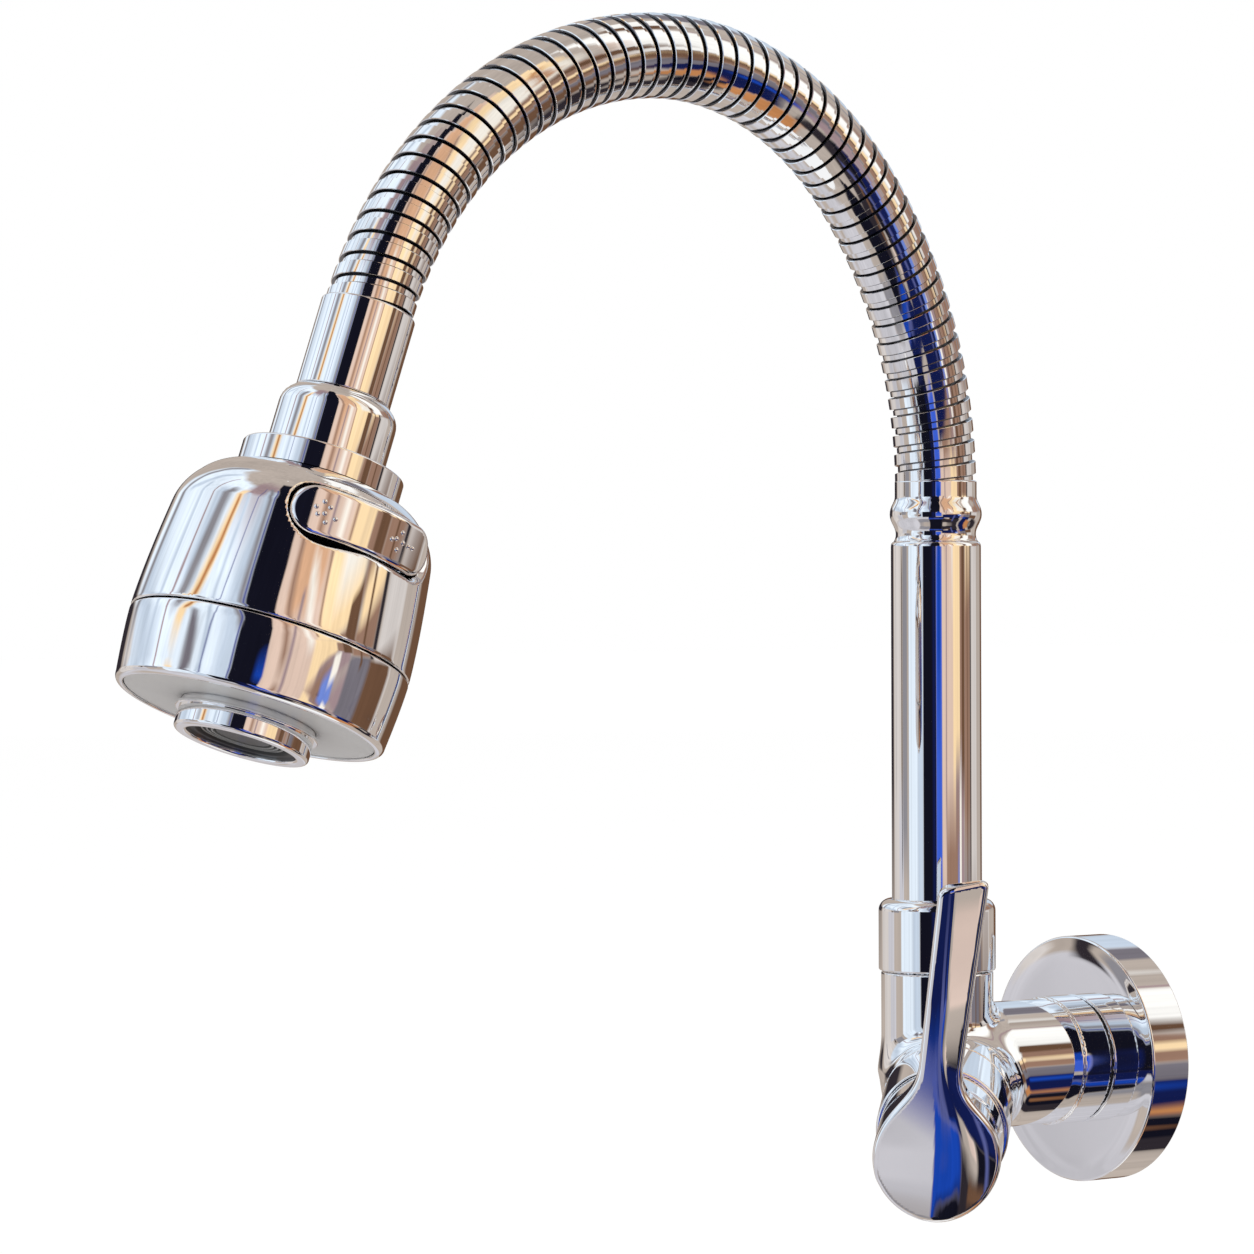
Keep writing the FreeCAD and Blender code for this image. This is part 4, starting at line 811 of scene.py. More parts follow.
# Valve body with its nut and trim sleeve
@dataclass
class ValveBody:
    """The casting of arm, upright tube and barrel, with the nut and the sleeve on it."""

    arm_radius: float = 15.5
    arm_end: float = 12.3
    arm_past: float = 2.5
    arm_round: float = 9.0
    ring_radius: float = 16.0
    ring_width: float = 8.6
    ring_edge: float = 0.35
    ring_blend: float = 0.3
    tube_radius: float = 13.7
    tube_top: float = 24.1
    tube_edge: float = 0.4
    foot_drop: float = 1.5
    barrel_radius: float = 15.9
    barrel_reach: float = 20.0
    barrel_edge: float = 0.3
    blend: float = 3.4
    spigot_radius: float = 12.5
    spigot_top: float = 36.0
    spigot_edge: float = 0.5
    nipple_bore: float = 10.3
    nipple_depth: float = 12.0
    pipe_bore: float = 11.06
    pipe_floor: float = 11.9
    cartridge_bore: float = 9.0
    cartridge_floor: float = 8.4
    water_bore: float = 6.5
    water_end: float = 46.1
    cut_past: float = 5.0
    region: Region = Region((-19.0, -81.0, -26.0), (27.0, -11.0, 38.0), 0.6)
    sleeve_bore: float = 11.5
    sleeve_radius: float = 15.8
    sleeve_inside: float = 14.6
    sleeve_floor: float = 21.2
    sleeve_end: float = 38.5
    nut_bore: float = 12.6
    nut_radius: float = 14.3
    nut_lip: float = 11.12
    nut_low: float = 24.4
    nut_roof: float = 40.5
    nut_top: float = 41.9
    nut_round: float = 2.9

    def field(self, points: np.ndarray) -> np.ndarray:
        """Distance to the casting.

        Args:
            points: Points in the frame's millimetres.

        Returns:
            The distance at each point, negative inside.
        """
        wall = WALL.to_local(points)
        pipe = PIPE.to_local(points)
        valve = VALVE.to_local(points)
        arm = rod(wall, self.arm_radius, self.arm_end - self.arm_round, WALL_TO_PIPE + self.arm_past,
                  self.arm_round)
        arm = np.maximum(arm, self.arm_end - wall[:, 2])
        tube = rod(pipe, self.tube_radius, 0.0, self.tube_top, self.tube_edge)
        barrel = rod(valve, self.barrel_radius, 0.0, self.barrel_reach, self.barrel_edge)
        foot = np.linalg.norm(pipe + np.array([0.0, 0.0, self.foot_drop]), axis=1) - self.tube_radius
        body = soft_union(soft_union(foot, arm, self.blend), soft_union(tube, barrel, self.blend), self.blend)
        ring = rod(wall, self.ring_radius, self.arm_end, self.arm_end + self.ring_width, self.ring_edge)
        body = soft_union(body, ring, self.ring_blend)
        body = np.minimum(body, rod(pipe, self.spigot_radius, 0.0, self.spigot_top, self.spigot_edge))
        ways = np.minimum.reduce([
            rod(wall, self.nipple_bore, self.arm_end - self.cut_past, self.arm_end + self.nipple_depth),
            rod(pipe, self.pipe_bore, self.pipe_floor, self.spigot_top + self.cut_past),
            rod(valve, self.cartridge_bore, self.cartridge_floor, self.barrel_reach + self.cut_past),
            rod(wall, self.water_bore, self.arm_end, self.water_end),
        ])
        return np.maximum(body, -ways)

    def build(self) -> None:
        """Makes the casting, the trim sleeve and the nut."""
        body = cast_piece("valve_casting", FRAME, self.field, self.region)
        place_piece(body, "body", Slot.CHROME, Finishes.CHROME, "valve_body")
        sleeve = turned_piece("cartridge_sleeve", VALVE, (
            Corner(self.sleeve_bore, self.barrel_reach), Corner(self.sleeve_radius, self.barrel_reach, 0.5),
            Corner(self.sleeve_radius, self.sleeve_end, 0.6), Corner(self.sleeve_inside, self.sleeve_end),
            Corner(self.sleeve_inside, self.sleeve_floor), Corner(self.sleeve_bore, self.sleeve_floor),
        ))
        place_piece(sleeve, "body", Slot.CHROME, Finishes.CHROME, "trim_sleeve")
        nut = turned_piece("gland_nut", PIPE, (
            Corner(self.nut_bore, self.nut_low), Corner(self.nut_radius, self.nut_low, 0.5),
            Corner(self.nut_radius, self.nut_top, self.nut_round), Corner(self.nut_lip, self.nut_top, 0.25),
            Corner(self.nut_lip, self.nut_roof), Corner(self.nut_bore, self.nut_roof),
        ))
        place_piece(nut, "body", Slot.CHROME, Finishes.CHROME, "spout_nut")


# Lever handle
@dataclass(frozen=True)
class Station:
    """The handle's front at a place along it: the ridge's place and drop, and the faces beside it."""

    along: float
    ridge: float
    drop: float
    left_slope: float
    width: float
    right_slope: float


@dataclass
class LeverHandle:
    """The keyhole-shaped handle: a round hub drawn up into a leaning lever."""

    hub_radius: float = 15.0
    hub_start: float = 38.8
    front: float = 61.0
    front_round: float = 1.3
    back: float = 55.2
    back_round: float = 1.6
    length: float = 65.4
    skew: float = 3.2
    half_width: float = 4.9
    root: float = 14.0
    root_share: float = -0.5
    spread: float = 0.8
    shift: float = 1.7
    corner: float = 2.2
    lean: float = 7.9
    neck: float = 9.0
    ridge_round: float = 0.8
    skin: float = 1.8
    hollow_start: float = 35.8
    hollow_top: float = 52.4
    boss_radius: float = 6.8
    boss_start: float = 36.0
    boss_top: float = 53.0
    socket_radius: float = 4.1
    socket_start: float = 30.0
    socket_top: float = 46.3
    region: Region = Region((-17.0, -17.0, 37.0), (17.0, 70.0, 63.0), 0.5)
    stations: tuple[Station, ...] = (
        Station(-16.5, 0.9, 0.2, 0.10, 15.0, 0.66),
        Station(-8.0, 0.7, 0.0, 0.10, 15.0, 0.66),
        Station(3.0, 0.0, 0.0, 0.10, 14.0, 0.64),
        Station(11.0, -0.8, 0.0, 0.09, 9.0, 0.52),
        Station(20.0, -2.2, 0.1, 0.08, 3.6, 0.42),
        Station(40.0, -3.8, 0.3, 0.06, 2.3, 0.36),
        Station(70.0, -5.4, 0.9, 0.04, 2.0, 0.30),
    )

    def front_height(self, points: np.ndarray) -> tuple[np.ndarray, np.ndarray]:
        """Height of the handle's front and its slope across.

        Args:
            points: Points in the handle's axes.

        Returns:
            The front's height over each point, and its slope there.
        """
        places = [station.along for station in self.stations]
        ridge, drop, left_slope, width, right_slope = (
            smooth_between(places, [getattr(station, name) for station in self.stations], points[:, 1])
            for name in ("ridge", "drop", "left_slope", "width", "right_slope"))
        bend = width / np.sin(np.arctan(right_slope))
        x = points[:, 0] - ridge
        inside = np.clip(x, 0.0, width)
        fall = bend - np.sqrt(bend ** 2 - inside ** 2)
        height = self.front - drop - fall
        near = np.clip(x, -self.ridge_round, self.ridge_round) - self.ridge_round
        height += left_slope * (np.minimum(x + self.ridge_round, 0.0) - near ** 2 / (4 * self.ridge_round))
        height -= np.where(x > width, right_slope * (x - width), 0.0)
        slope = inside / np.sqrt(bend ** 2 - inside ** 2) - left_slope * near / (2 * self.ridge_round)
        return height, slope

    def field(self, points: np.ndarray) -> np.ndarray:
        """Distance to the handle.

        Args:
            points: Points in the handle's axes.

        Returns:
            The distance at each point, negative inside.
        """
        x, y, z = points.T
        share = np.clip((y - self.root) / (self.length - self.root), self.root_share, 1.0)
        half = self.half_width + self.spread * share
        side = np.abs(x + self.shift) - half + self.corner
        across = np.clip((x + self.shift + half) / (2 * half), 0.0, 1.0)
        tip = y - self.length - self.skew * across + self.corner
        bar = np.maximum(rounded(side, tip) - self.corner, -y)
        bar = soft_common(bar, self.back - z, self.back_round)
        hub = np.maximum(np.hypot(x, y) - self.hub_radius, self.hub_start - z)
        body = np.maximum(soft_union(hub, bar, self.neck), self.hub_start - z)
        height, slope = self.front_height(points)
        body = soft_common(body, (z - height) / np.sqrt(1 + slope ** 2), self.front_round)
        hollow = rod(points, self.hub_radius - self.skin, self.hollow_start, self.hollow_top)
        boss = rod(points, self.boss_radius, self.boss_start, self.boss_top)
        body = np.maximum(body, -np.maximum(hollow, -boss))
        return np.maximum(body, -rod(points, self.socket_radius, self.socket_start, self.socket_top))

    def build(self) -> None:
        """Makes the handle."""
        handle = cast_piece("keyhole_handle", VALVE.turned(-self.lean), self.field, self.region)
        place_piece(handle, "handle", Slot.CHROME, Finishes.CHROME, "handle_lever")


# Upright pipe and the ball collar
@dataclass
class UprightPipe:
    """The swivelling pipe with its rounded top, and the collar that the hose grows from."""

    radius: float = 11.0
    bore: float = 9.8
    bottom: float = 30.0
    groove_low: float = 36.3
    groove_high: float = 38.6
    groove_depth: float = 0.5
    top: float = 129.1
    top_round: float = 1.2
    top_angles: tuple[float, ...] = (25.0, 50.0, 75.0)
    lip: float = 10.4
    plug_radius: float = 9.75
    plug_depth: float = 11.1
    plug_gap: float = 0.1
    water_bore: float = 6.5
    seat: float = 122.0
    rim: float = 144.1
    rim_radius: float = 10.0
    rim_bore: float = 9.0
    # Radius and height over the pipe's top, along the collar's waist and ball
    wave: tuple[tuple[float, float], ...] = (
        (10.4, 0.0), (10.12, 0.4), (9.92, 0.9), (9.8, 1.5), (9.78, 2.0), (9.84, 2.6), (10.02, 3.2),
        (10.33, 3.9), (10.68, 4.6), (10.98, 5.3), (11.18, 6.0), (11.25, 6.7), (11.2, 7.4), (11.05, 8.1),
        (10.8, 8.8), (10.46, 9.5), (10.18, 10.1), (10.04, 10.6), (10.0, 11.2),
    )

    def build(self) -> None:
        """Makes the pipe and the collar."""
        turn_in = [(self.lip + (self.radius - self.lip) * math.cos(math.radians(angle)),
                    self.top - self.top_round + self.top_round * math.sin(math.radians(angle)))
                   for angle in self.top_angles]
        groove = self.radius - self.groove_depth
        pipe = turned_piece("riser_pipe", PIPE, (
            Corner(self.bore, self.bottom), Corner(self.radius, self.bottom),
            Corner(self.radius, self.groove_low), Corner(groove, self.groove_low),
            Corner(groove, self.groove_high), Corner(self.radius, self.groove_high),
            *curve_of([(self.radius, self.top - self.top_round), *turn_in]),
            Corner(self.lip, self.top), Corner(self.bore, self.top),
        ))
        place_piece(pipe, "spout", Slot.CHROME, Finishes.CHROME, "spout_pipe")
        plug_end = self.top - self.plug_depth
        collar = turned_piece("hose_collar", PIPE, (
            Corner(self.water_bore, plug_end), Corner(self.plug_radius, plug_end),
            Corner(self.plug_radius, self.top - self.plug_gap), *curve_of(self.wave, self.top),
            Corner(self.rim_radius, self.rim, 0.5), Corner(self.rim_bore, self.rim),
            Corner(self.rim_bore, self.seat), Corner(self.water_bore, self.seat),
        ))
        place_piece(collar, "spout", Slot.CHROME, Finishes.CHROME, "ball_collar")


# Gooseneck of wound strip
@dataclass
class Gooseneck:
    """The metal hose: one strip wound in a screw line, each turn lapping the next."""

    turns: int = 53
    cover: float = 1.6
    overlap: float = 0.4
    steps: int = 72
    # Share of a turn's pitch, and radius, along the strip's profile
    strip: tuple[tuple[float, float], ...] = (
        (0.0, 8.85), (0.03, 8.85), (0.035, 9.72), (0.06, 9.9), (0.60, 9.9), (0.62, 9.7), (0.625, 8.3),
        (0.69, 8.3), (0.695, 9.02), (0.71, 9.12), (0.97, 9.12), (0.975, 8.85), (1.0, 8.85),
    )
    # Stretches of the profile that lie between the bands, dressed in the dark painted shade of the groove
    recess: tuple[int, ...] = (0, 5, 6, 7, 11)

    def build(self) -> None:
        """Makes the strip's bands and, as a piece of its own, the recess between its turns, darkened with
        painted shade.
        """
        pitch = (ARCH.length - self.cover) / self.turns
        angles = np.arange(-self.steps, self.turns * self.steps + 1) * 2 * math.pi / self.steps
        share, radius = np.array(self.strip).T
        distance = (angles[:, None] / (2 * math.pi) + share[None, :]) * pitch + self.cover
        distance = np.clip(distance, self.cover - self.overlap, ARCH.length + self.overlap)
        place, heading = ARCH.at(distance)
        sine, cosine = np.sin(heading)[..., None], np.cos(heading)[..., None]
        out_dir, up_dir = np.array(OUTWARD), np.array(UP)
        centre = np.array(PIPE.origin) + place[..., :1] * out_dir + place[..., 1:] * up_dir
        inward = sine * out_dir - cosine * up_dir
        along = cosine * out_dir + sine * up_dir
        spin = (angles[:, None] + np.zeros_like(distance))[..., None]
        ray = np.cos(spin) * inward + np.sin(spin) * np.array(SIDEWAYS)
        points = (centre + ray * radius[None, :, None]).reshape(-1, 3)
        columns = len(self.strip)
        bands: tuple[list, list] = ([], [])
        shaded_gaps: tuple[list, list] = ([], [])
        for c in range(columns - 1):
            faces, normals = shaded_gaps if c in self.recess else bands
            rise = radius[c + 1] - radius[c]
            run = (share[c + 1] - share[c]) * pitch
            size = math.hypot(rise, run)
            normal = ray * (run / size) - along * (rise / size)
            flat = np.abs(distance[:, c] - distance[:, c + 1]) < TINY
            for k in range(len(angles) - 1):
                if flat[k] and flat[k + 1]:
                    continue
                corners = ((k, c), (k + 1, c), (k + 1, c + 1), (k, c + 1))
                faces.append(tuple(p * columns + q for p, q in corners))
                normals.extend(normal[p, q] for p, q in corners)
        # The recess faces are a piece of their own, in a dark finish that paints the shade of the groove
        # between the turns
        for name, (faces, normals), finish in (("wound_hose", bands, Finishes.STRIP),
                                               ("wound_hose_recess", shaded_gaps, Finishes.SHADED_RECESS)):
            used, numbers = np.unique(np.array(faces), return_inverse=True)
            faces = [tuple(face) for face in numbers.reshape(-1, 4).tolist()]
            hose = add_mesh(name, points[used], faces, np.array(normals), True)
            place_piece(hose, "spout", Slot.CHROME, finish, "gooseneck_hose")


# Spray head: its swivel, the rocker, the cover and the outlet
@dataclass
class HeadSwivel:
    """The ferrule on the hose's end, the swivel nut and the stepped ring over the head."""

    water_bore: float = 6.5
    hose_bore: float = 8.9
    ferrule_radius: float = 10.65
    ferrule_roof: float = 20.0
    ferrule_end: float = 21.0
    nut_start: float = 21.3
    nut_radius: float = 13.25
    nut_end: float = 37.4
    stem_bore: float = 7.06
    collar_bore: float = 9.36
    collar_start: float = 24.3
    collar_end: float = 27.1
    thread_bore: float = 10.85
    # Radius and height along the nut's rounded start
    flare: tuple[tuple[float, float], ...] = ((10.95, 21.3), (11.35, 21.6), (12.0, 22.2), (12.6, 22.95),
                                              (13.0, 23.8), (13.2, 24.7), (13.25, 25.6))
    step_bore: float = 13.35
    step_radius: float = 18.2
    step_start: float = 36.0
    step_end: float = 41.75
    edge: float = 0.5

    def build(self) -> None:
        """Makes the ferrule, the swivel nut and the stepped ring."""
        ferrule = turned_piece("hose_ferrule", HEAD, (
            Corner(self.hose_bore, 0.0), Corner(self.ferrule_radius, 0.0, self.edge),
            Corner(self.ferrule_radius, self.ferrule_end, self.edge / 2),
            Corner(self.water_bore, self.ferrule_end), Corner(self.water_bore, self.ferrule_roof),
            Corner(self.hose_bore, self.ferrule_roof),
        ))
        place_piece(ferrule, "spout", Slot.CHROME, Finishes.CHROME, "head_ferrule")
        nut = turned_piece("head_swivel_nut", HEAD, (
            Corner(self.stem_bore, self.nut_start), *curve_of(self.flare),
            Corner(self.nut_radius, self.nut_end), Corner(self.thread_bore, self.nut_end),
            Corner(self.thread_bore, self.collar_end), Corner(self.collar_bore, self.collar_end),
            Corner(self.collar_bore, self.collar_start), Corner(self.stem_bore, self.collar_start),
        ))
        place_piece(nut, "head", Slot.CHROME, Finishes.CHROME, "swivel_nut")
        ring = turned_piece("head_step", HEAD, (
            Corner(self.step_bore, self.step_start), Corner(self.step_radius, self.step_start, self.edge),
            Corner(self.step_radius, self.step_end), Corner(self.step_bore, self.step_end),
        ))
        place_piece(ring, "head", Slot.PLATED, Finishes.PLATED, "step_ring")


@dataclass(frozen=True)
class Rocker:
    """The button with round ends, its ear on the pin and its raised dots."""

    level: float = 53.3
    half: float = 17.6
    half_height: float = 5.5
    face: float = 29.3
    depth: float = 3.2
    edge: float = 1.1
    ear_place: float = 25.0
    ear_half: float = 2.4
    ear_half_height: float = 3.3
    pivot: float = 23.6
    pin_bore: float = 1.06
    rest_tilt: float = 3.5
    region: Region = Region((17.0, -19.0, 46.5), (31.0, 19.0, 60.0), 0.4)
    # Places of the dots across the button and along the head
    left_dots: tuple[tuple[float, float], ...] = (
        (-11.5, 0.0), (-10.2, 0.1), (-8.4, 0.0), (-6.4, -0.2), (-5.2, 0.3), (-7.2, 2.0), (-7.6, -2.0))
    right_dots: tuple[tuple[float, float], ...] = (
        (8.6, 0.9), (10.2, -1.2), (11.0, 0.4), (10.4, 2.2), (12.3, 0.9), (12.9, -0.6), (11.6, -2.1))
    dot_radius: float = 0.56
    dot_height: float = 0.85
    dot_sunk: float = 0.02
    dot_sides: int = 16
    dot_rings: int = 5

    def field(self, points: np.ndarray) -> np.ndarray:
        """Distance to the button.

        Args:
            points: Points in the head's axes, tilted with the button.

        Returns:
            The distance at each point, negative inside.
        """
        x, y, z = points.T
        r = np.hypot(x, y)
        outline = stadium(y, z - self.level, self.half, self.half_height)
        plate = soft_common(outline, np.maximum(r - self.face, self.face - self.depth - r), self.edge)
        plate = np.where(x > 0, plate, FAR)
        ear = np.maximum(np.maximum(np.abs(x - self.ear_place) - self.ear_half, np.abs(y) - self.ear_half),
                         np.abs(z - self.level) - self.ear_half_height)
        bore = np.hypot(x - self.pivot, y) - self.pin_bore
        return np.maximum(np.minimum(plate, ear), -bore)

    def dot(self, across: float, up: float) -> np.ndarray:
        """Points of one raised dot, ring by ring, with its top last.

        Args:
            across: The dot's place across the button.
            up: Its place along the head.

        Returns:
            The points in the button's axes.
        """
        out = unit(np.array([math.sqrt(self.face ** 2 - across ** 2), across, 0.0]))
        side = np.array([-out[1], out[0], 0.0])
        centre = out * self.face + np.array([0.0, 0.0, self.level + up])
        points = []
        for ring in range(self.dot_rings):
            lift = math.pi / 2 * ring / self.dot_rings
            height = self.dot_radius * self.dot_height * math.sin(lift) - self.dot_sunk
            for step in range(self.dot_sides):
                angle = 2 * math.pi * step / self.dot_sides
                edge = side * math.cos(angle) + np.array(UP) * math.sin(angle)
                points.append(centre + edge * self.dot_radius * math.cos(lift) + out * height)
        points.append(centre + out * (self.dot_radius * self.dot_height - self.dot_sunk))
        return np.array(points)

    def dot_faces(self, base: int) -> list[tuple[int, ...]]:
        """Faces of one raised dot.

        Args:
            base: Number of its first point.

        Returns:
            The point numbers of each face.
        """
        sides = self.dot_sides
        after = [(step + 1) % sides for step in range(sides)]
        faces: list[tuple[int, ...]] = []
        for ring in range(self.dot_rings - 1):
            low = base + ring * sides
            faces += [(low + m, low + n, low + sides + n, low + sides + m) for m, n in enumerate(after)]
        last = base + (self.dot_rings - 1) * sides
        return faces + [(last + m, last + n, last + sides) for m, n in enumerate(after)]

    def build(self) -> None:
        """Makes the button and its raised dots."""
        axes = HEAD.moved(self.pivot).turned(self.rest_tilt).moved(-self.pivot)
        button = cast_piece("rocker_cap", axes, self.field, self.region)
        place_piece(button, "rocker", Slot.PLATED, Finishes.PLATED, "rocker_button")
        dots = [self.dot(across, up) for across, up in self.left_dots + self.right_dots]
        faces = [face for i, dot in enumerate(dots) for face in self.dot_faces(i * len(dot))]
        relief = add_mesh("rocker_dots", axes.to_world(np.concatenate(dots)), faces, None, False)
        place_piece(relief, "rocker", Slot.PLATED, Finishes.PLATED)


@dataclass
class HeadCover:
    """The shell with the rocker's recess, the skirt below it and the grey face."""

    rocker: Rocker
    top: float = 41.8
    wall: float = 2.0
    bore: float = 13.35
    shoulder: float = 12.0
    side_top: float = 29.2
    side_low: float = 31.3
    side_start: float = 53.8
    side_bow: float = 1.5
    side_past: float = 1.3
    seam: float = 78.6
    seam_round: float = 0.5
    recess_depth: float = 2.6
    recess_flare: float = 0.25
    recess_round: float = 0.55
    end_gap: float = 0.35
    side_gap: float = 0.3
    run: float = 9.0
    scoop_depth: float = 2.2
    scoop_widens: float = 1.7
    scoop_raises: float = 0.5
    dip_start: float = 0.5
    dip_widens: float = 1.25
    region: Region = Region((-32.5, -32.5, 40.5), (32.5, 32.5, 80.0), 0.55)
    skirt_gap: float = 0.35
    skirt_edge: float = 0.35
    skirt_step: float = 0.05
    skirt_bore: float = 29.3
    skirt_low: float = 30.2
    skirt_bow: float = 1.4
    skirt_points: int = 9
    edge_above: float = 0.5
    edge_below: float = 2.4
    bottom: float = 95.3
    bottom_taper: float = 0.1
    bottom_round: float = 1.5
    mouth: float = 28.2
    ledge: float = 27.0
    ledge_back: float = 92.0
    face_outer: float = 28.1
    face_inner: float = 15.1
    face_back: float = 93.2
    face_front: float = 94.8
    sides: int = 192

    def side(self, z: np.ndarray) -> np.ndarray:
        """Radius of the shell's side at heights."""
        share = np.clip((self.seam - z) / (self.seam - self.side_start), 0.0, self.side_past)
        return self.side_low - (self.side_low - self.side_top) * share ** self.side_bow

    def cup(self, r: np.ndarray, z: np.ndarray, inset: float) -> np.ndarray:
        """Distance to the shell's outside, moved in by the inset.

        Args:
            r: Radii of the points.
            z: Their heights.
            inset: How far the surface is moved in.

        Returns:
            The distances, negative inside.
        """
        bend = self.shoulder - inset
        return rounded(r - (self.side(z) - inset - bend), self.top + inset + bend - z) - bend

    def recess(self, y: np.ndarray, z: np.ndarray, deep: np.ndarray) -> np.ndarray:
        """Distance to the recess that the button lies in.

        Args:
            y: Places across the button.
            z: Heights.
            deep: Depth under the shell's outside, as a share of the recess's own.

        Returns:
            The distances, negative inside.
        """
        up = z - self.rocker.level
        scoop = np.clip(1.0 - deep * self.scoop_depth, 0.0, 1.0) * np.clip(-y / self.run, 0.0, 1.0)
        dip = np.clip((y - self.dip_start) / self.run, 0.0, 1.0) * np.clip(up, 0.0, 1.0)
        flare = (1 - deep) * self.recess_flare
        half = self.rocker.half + self.end_gap + flare + scoop * self.scoop_widens
        half_height = (self.rocker.half_height + self.side_gap + flare + scoop * self.scoop_raises
                       + dip * self.dip_widens)
        return stadium(y, up, half, half_height)

    def field(self, points: np.ndarray) -> np.ndarray:
        """Distance to the shell with the recess.

        Args:
            points: Points in the head's axes.

        Returns:
            The distance at each point, negative inside.
        """
        x, y, z = points.T
        r = np.hypot(x, y)
        outside = self.cup(r, z, 0.0)
        shell = np.maximum(outside, -self.cup(r, z, self.wall))
        shell = soft_common(shell, z - self.seam, self.seam_round)
        shell = np.maximum(shell, self.bore - r)
        deep = np.clip(-outside, 0.0, self.recess_depth) / self.recess_depth
        recess = np.where(x > 0, self.recess(y, z, deep), FAR)
        return soft_common(shell, -recess, self.recess_round)

    def build(self) -> None:
        """Makes the shell, the skirt and the grey face."""
        shell = cast_piece("head_cover", HEAD, self.field, self.region)
        place_piece(shell, "head", Slot.PLATED, Finishes.PLATED, "head_shell")
        seam = self.seam + self.skirt_gap
        side = [(self.side_low + (self.skirt_low - self.side_low) * t ** self.skirt_bow,
                 seam + self.edge_above + (self.bottom - self.edge_below - seam) * t)
                for t in np.linspace(0.0, 1.0, self.skirt_points)]
        skirt = turned_piece("head_skirt_band", HEAD, (
            Corner(self.skirt_bore, seam), Corner(self.side_low - self.skirt_step, seam, self.skirt_edge),
            *curve_of(side), Corner(self.skirt_low - self.bottom_taper, self.bottom, self.bottom_round),
            Corner(self.mouth, self.bottom, 0.3), Corner(self.mouth, self.face_back),
            Corner(self.ledge, self.face_back), Corner(self.ledge, self.ledge_back),
        ), self.sides)
        place_piece(skirt, "head", Slot.PLATED, Finishes.PLATED, "head_skirt")
        face = turned_piece("spray_face", HEAD, (
            Corner(self.face_inner, self.face_back), Corner(self.face_outer, self.face_back),
            Corner(self.face_outer, self.face_front, 0.25), Corner(self.face_inner, self.face_front),
        ))
        place_piece(face, "head", Slot.GREY, Finishes.FACE, "face_plate")


@dataclass
class Outlet:
    """The outlet's neck and the aerator's ring, seal, ribbed insert and screen."""

    water_bore: float = 11.1
    neck_start: float = 89.3
    neck_radius: float = 15.0
    flange_radius: float = 16.0
    flange_start: float = 96.1
    neck_end: float = 97.0
    cup_radius: float = 15.1
    cup_inside: float = 13.4
    cup_lip: float = 12.2
    cup_roof: float = 100.4
    cup_end: float = 101.6
    seal_outer: float = 13.3
    seal_inner: float = 9.7
    seal_lip: float = 10.5
    seal_slope: float = 98.9
    seal_end: float = 100.35
    insert_start: float = 97.4
    rib_floor: float = 99.2
    rib_top: float = 99.9
    rib_edge: float = 0.15
    ribs: tuple[tuple[float, float], ...] = ((9.4, 8.83), (8.27, 7.7), (7.13, 6.57))
    screen_radius: float = 6.0
    screen_rim: float = 99.7
    screen_middle: float = 99.55

    def build(self) -> None:
        """Makes the neck, the aerator ring, its seal, the insert and the screen."""
        neck = turned_piece("outlet_collar", HEAD, (
            Corner(self.water_bore, self.neck_start), Corner(self.neck_radius, self.neck_start),
            Corner(self.neck_radius, self.flange_start), Corner(self.flange_radius, self.flange_start, 0.3),
            Corner(self.flange_radius, self.neck_end, 0.3), Corner(self.water_bore, self.neck_end),
        ))
        place_piece(neck, "head", Slot.PLATED, Finishes.PLATED, "outlet_neck")
        ring = turned_piece("aerator_cup", HEAD, (
            Corner(self.cup_inside, self.neck_end), Corner(self.cup_radius, self.neck_end),
            Corner(self.cup_radius, self.cup_end, 0.9), Corner(self.cup_lip, self.cup_end, 0.7),
            Corner(self.cup_lip, self.cup_roof), Corner(self.cup_inside, self.cup_roof),
        ))
        place_piece(ring, "head", Slot.PLATED, Finishes.PLATED, "aerator_ring")
        seal = turned_piece("aerator_gasket", HEAD, (
            Corner(self.seal_inner, self.neck_end), Corner(self.seal_outer, self.neck_end),
            Corner(self.seal_outer, self.seal_end), Corner(self.seal_lip, self.seal_end, 0.3),
            Corner(self.seal_inner, self.seal_slope, 0.2),
        ))
        place_piece(seal, "head", Slot.RUBBER, Finishes.RUBBER, "aerator_seal")
        ribbed = [corner for outer, inner in self.ribs for corner in (
            Corner(outer, self.rib_floor), Corner(outer, self.rib_top, self.rib_edge),
            Corner(inner, self.rib_top, self.rib_edge), Corner(inner, self.rib_floor))]
        insert = turned_piece("aerator_core", HEAD, (
            Corner(0.0, self.insert_start), Corner(self.ribs[0][0], self.insert_start), *ribbed[1:],
            Corner(0.0, self.rib_floor),
        ))
        place_piece(insert, "head", Slot.GREY, Finishes.INSERT, "aerator_insert")
        screen = turned_piece("aerator_mesh", HEAD, (
            Corner(0.0, self.rib_floor), Corner(self.screen_radius, self.rib_floor),
            Corner(self.screen_radius, self.screen_rim, 0.1), Corner(0.0, self.screen_middle),
        ))
        place_piece(screen, "head", Slot.STEEL, Finishes.SCREEN, "aerator_screen")


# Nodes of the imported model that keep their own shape
INNER = {
    Finishes.BRASS: ("inlet_nipple", "cartridge_housing", "spout_foot", "hose_tail", "swivel_stem",
                     "spindle"),
    Finishes.RUBBER: ("seat_seal", "spindle_o_ring", "lower_pipe_o_ring", "upper_pipe_o_ring",
                      "stem_o_ring", "spool_o_rings"),
    Finishes.CERAMIC: ("fixed_disc", "moving_disc"),
    Finishes.STEEL: ("handle_screw", "rocker_pin"),
    Finishes.WHITE: ("slip_washer", "retaining_ring"),
    Finishes.BLACK: ("water_chamber", "rocker_cradle", "diverter_spool"),
    Finishes.HOSE: ("water_hose",),
}


def node_object(node: str) -> bpy.types.Object:
    """The Blender object of a node."""
    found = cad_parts[node]
    return found if isinstance(found, bpy.types.Object) else bpy.data.objects[found]


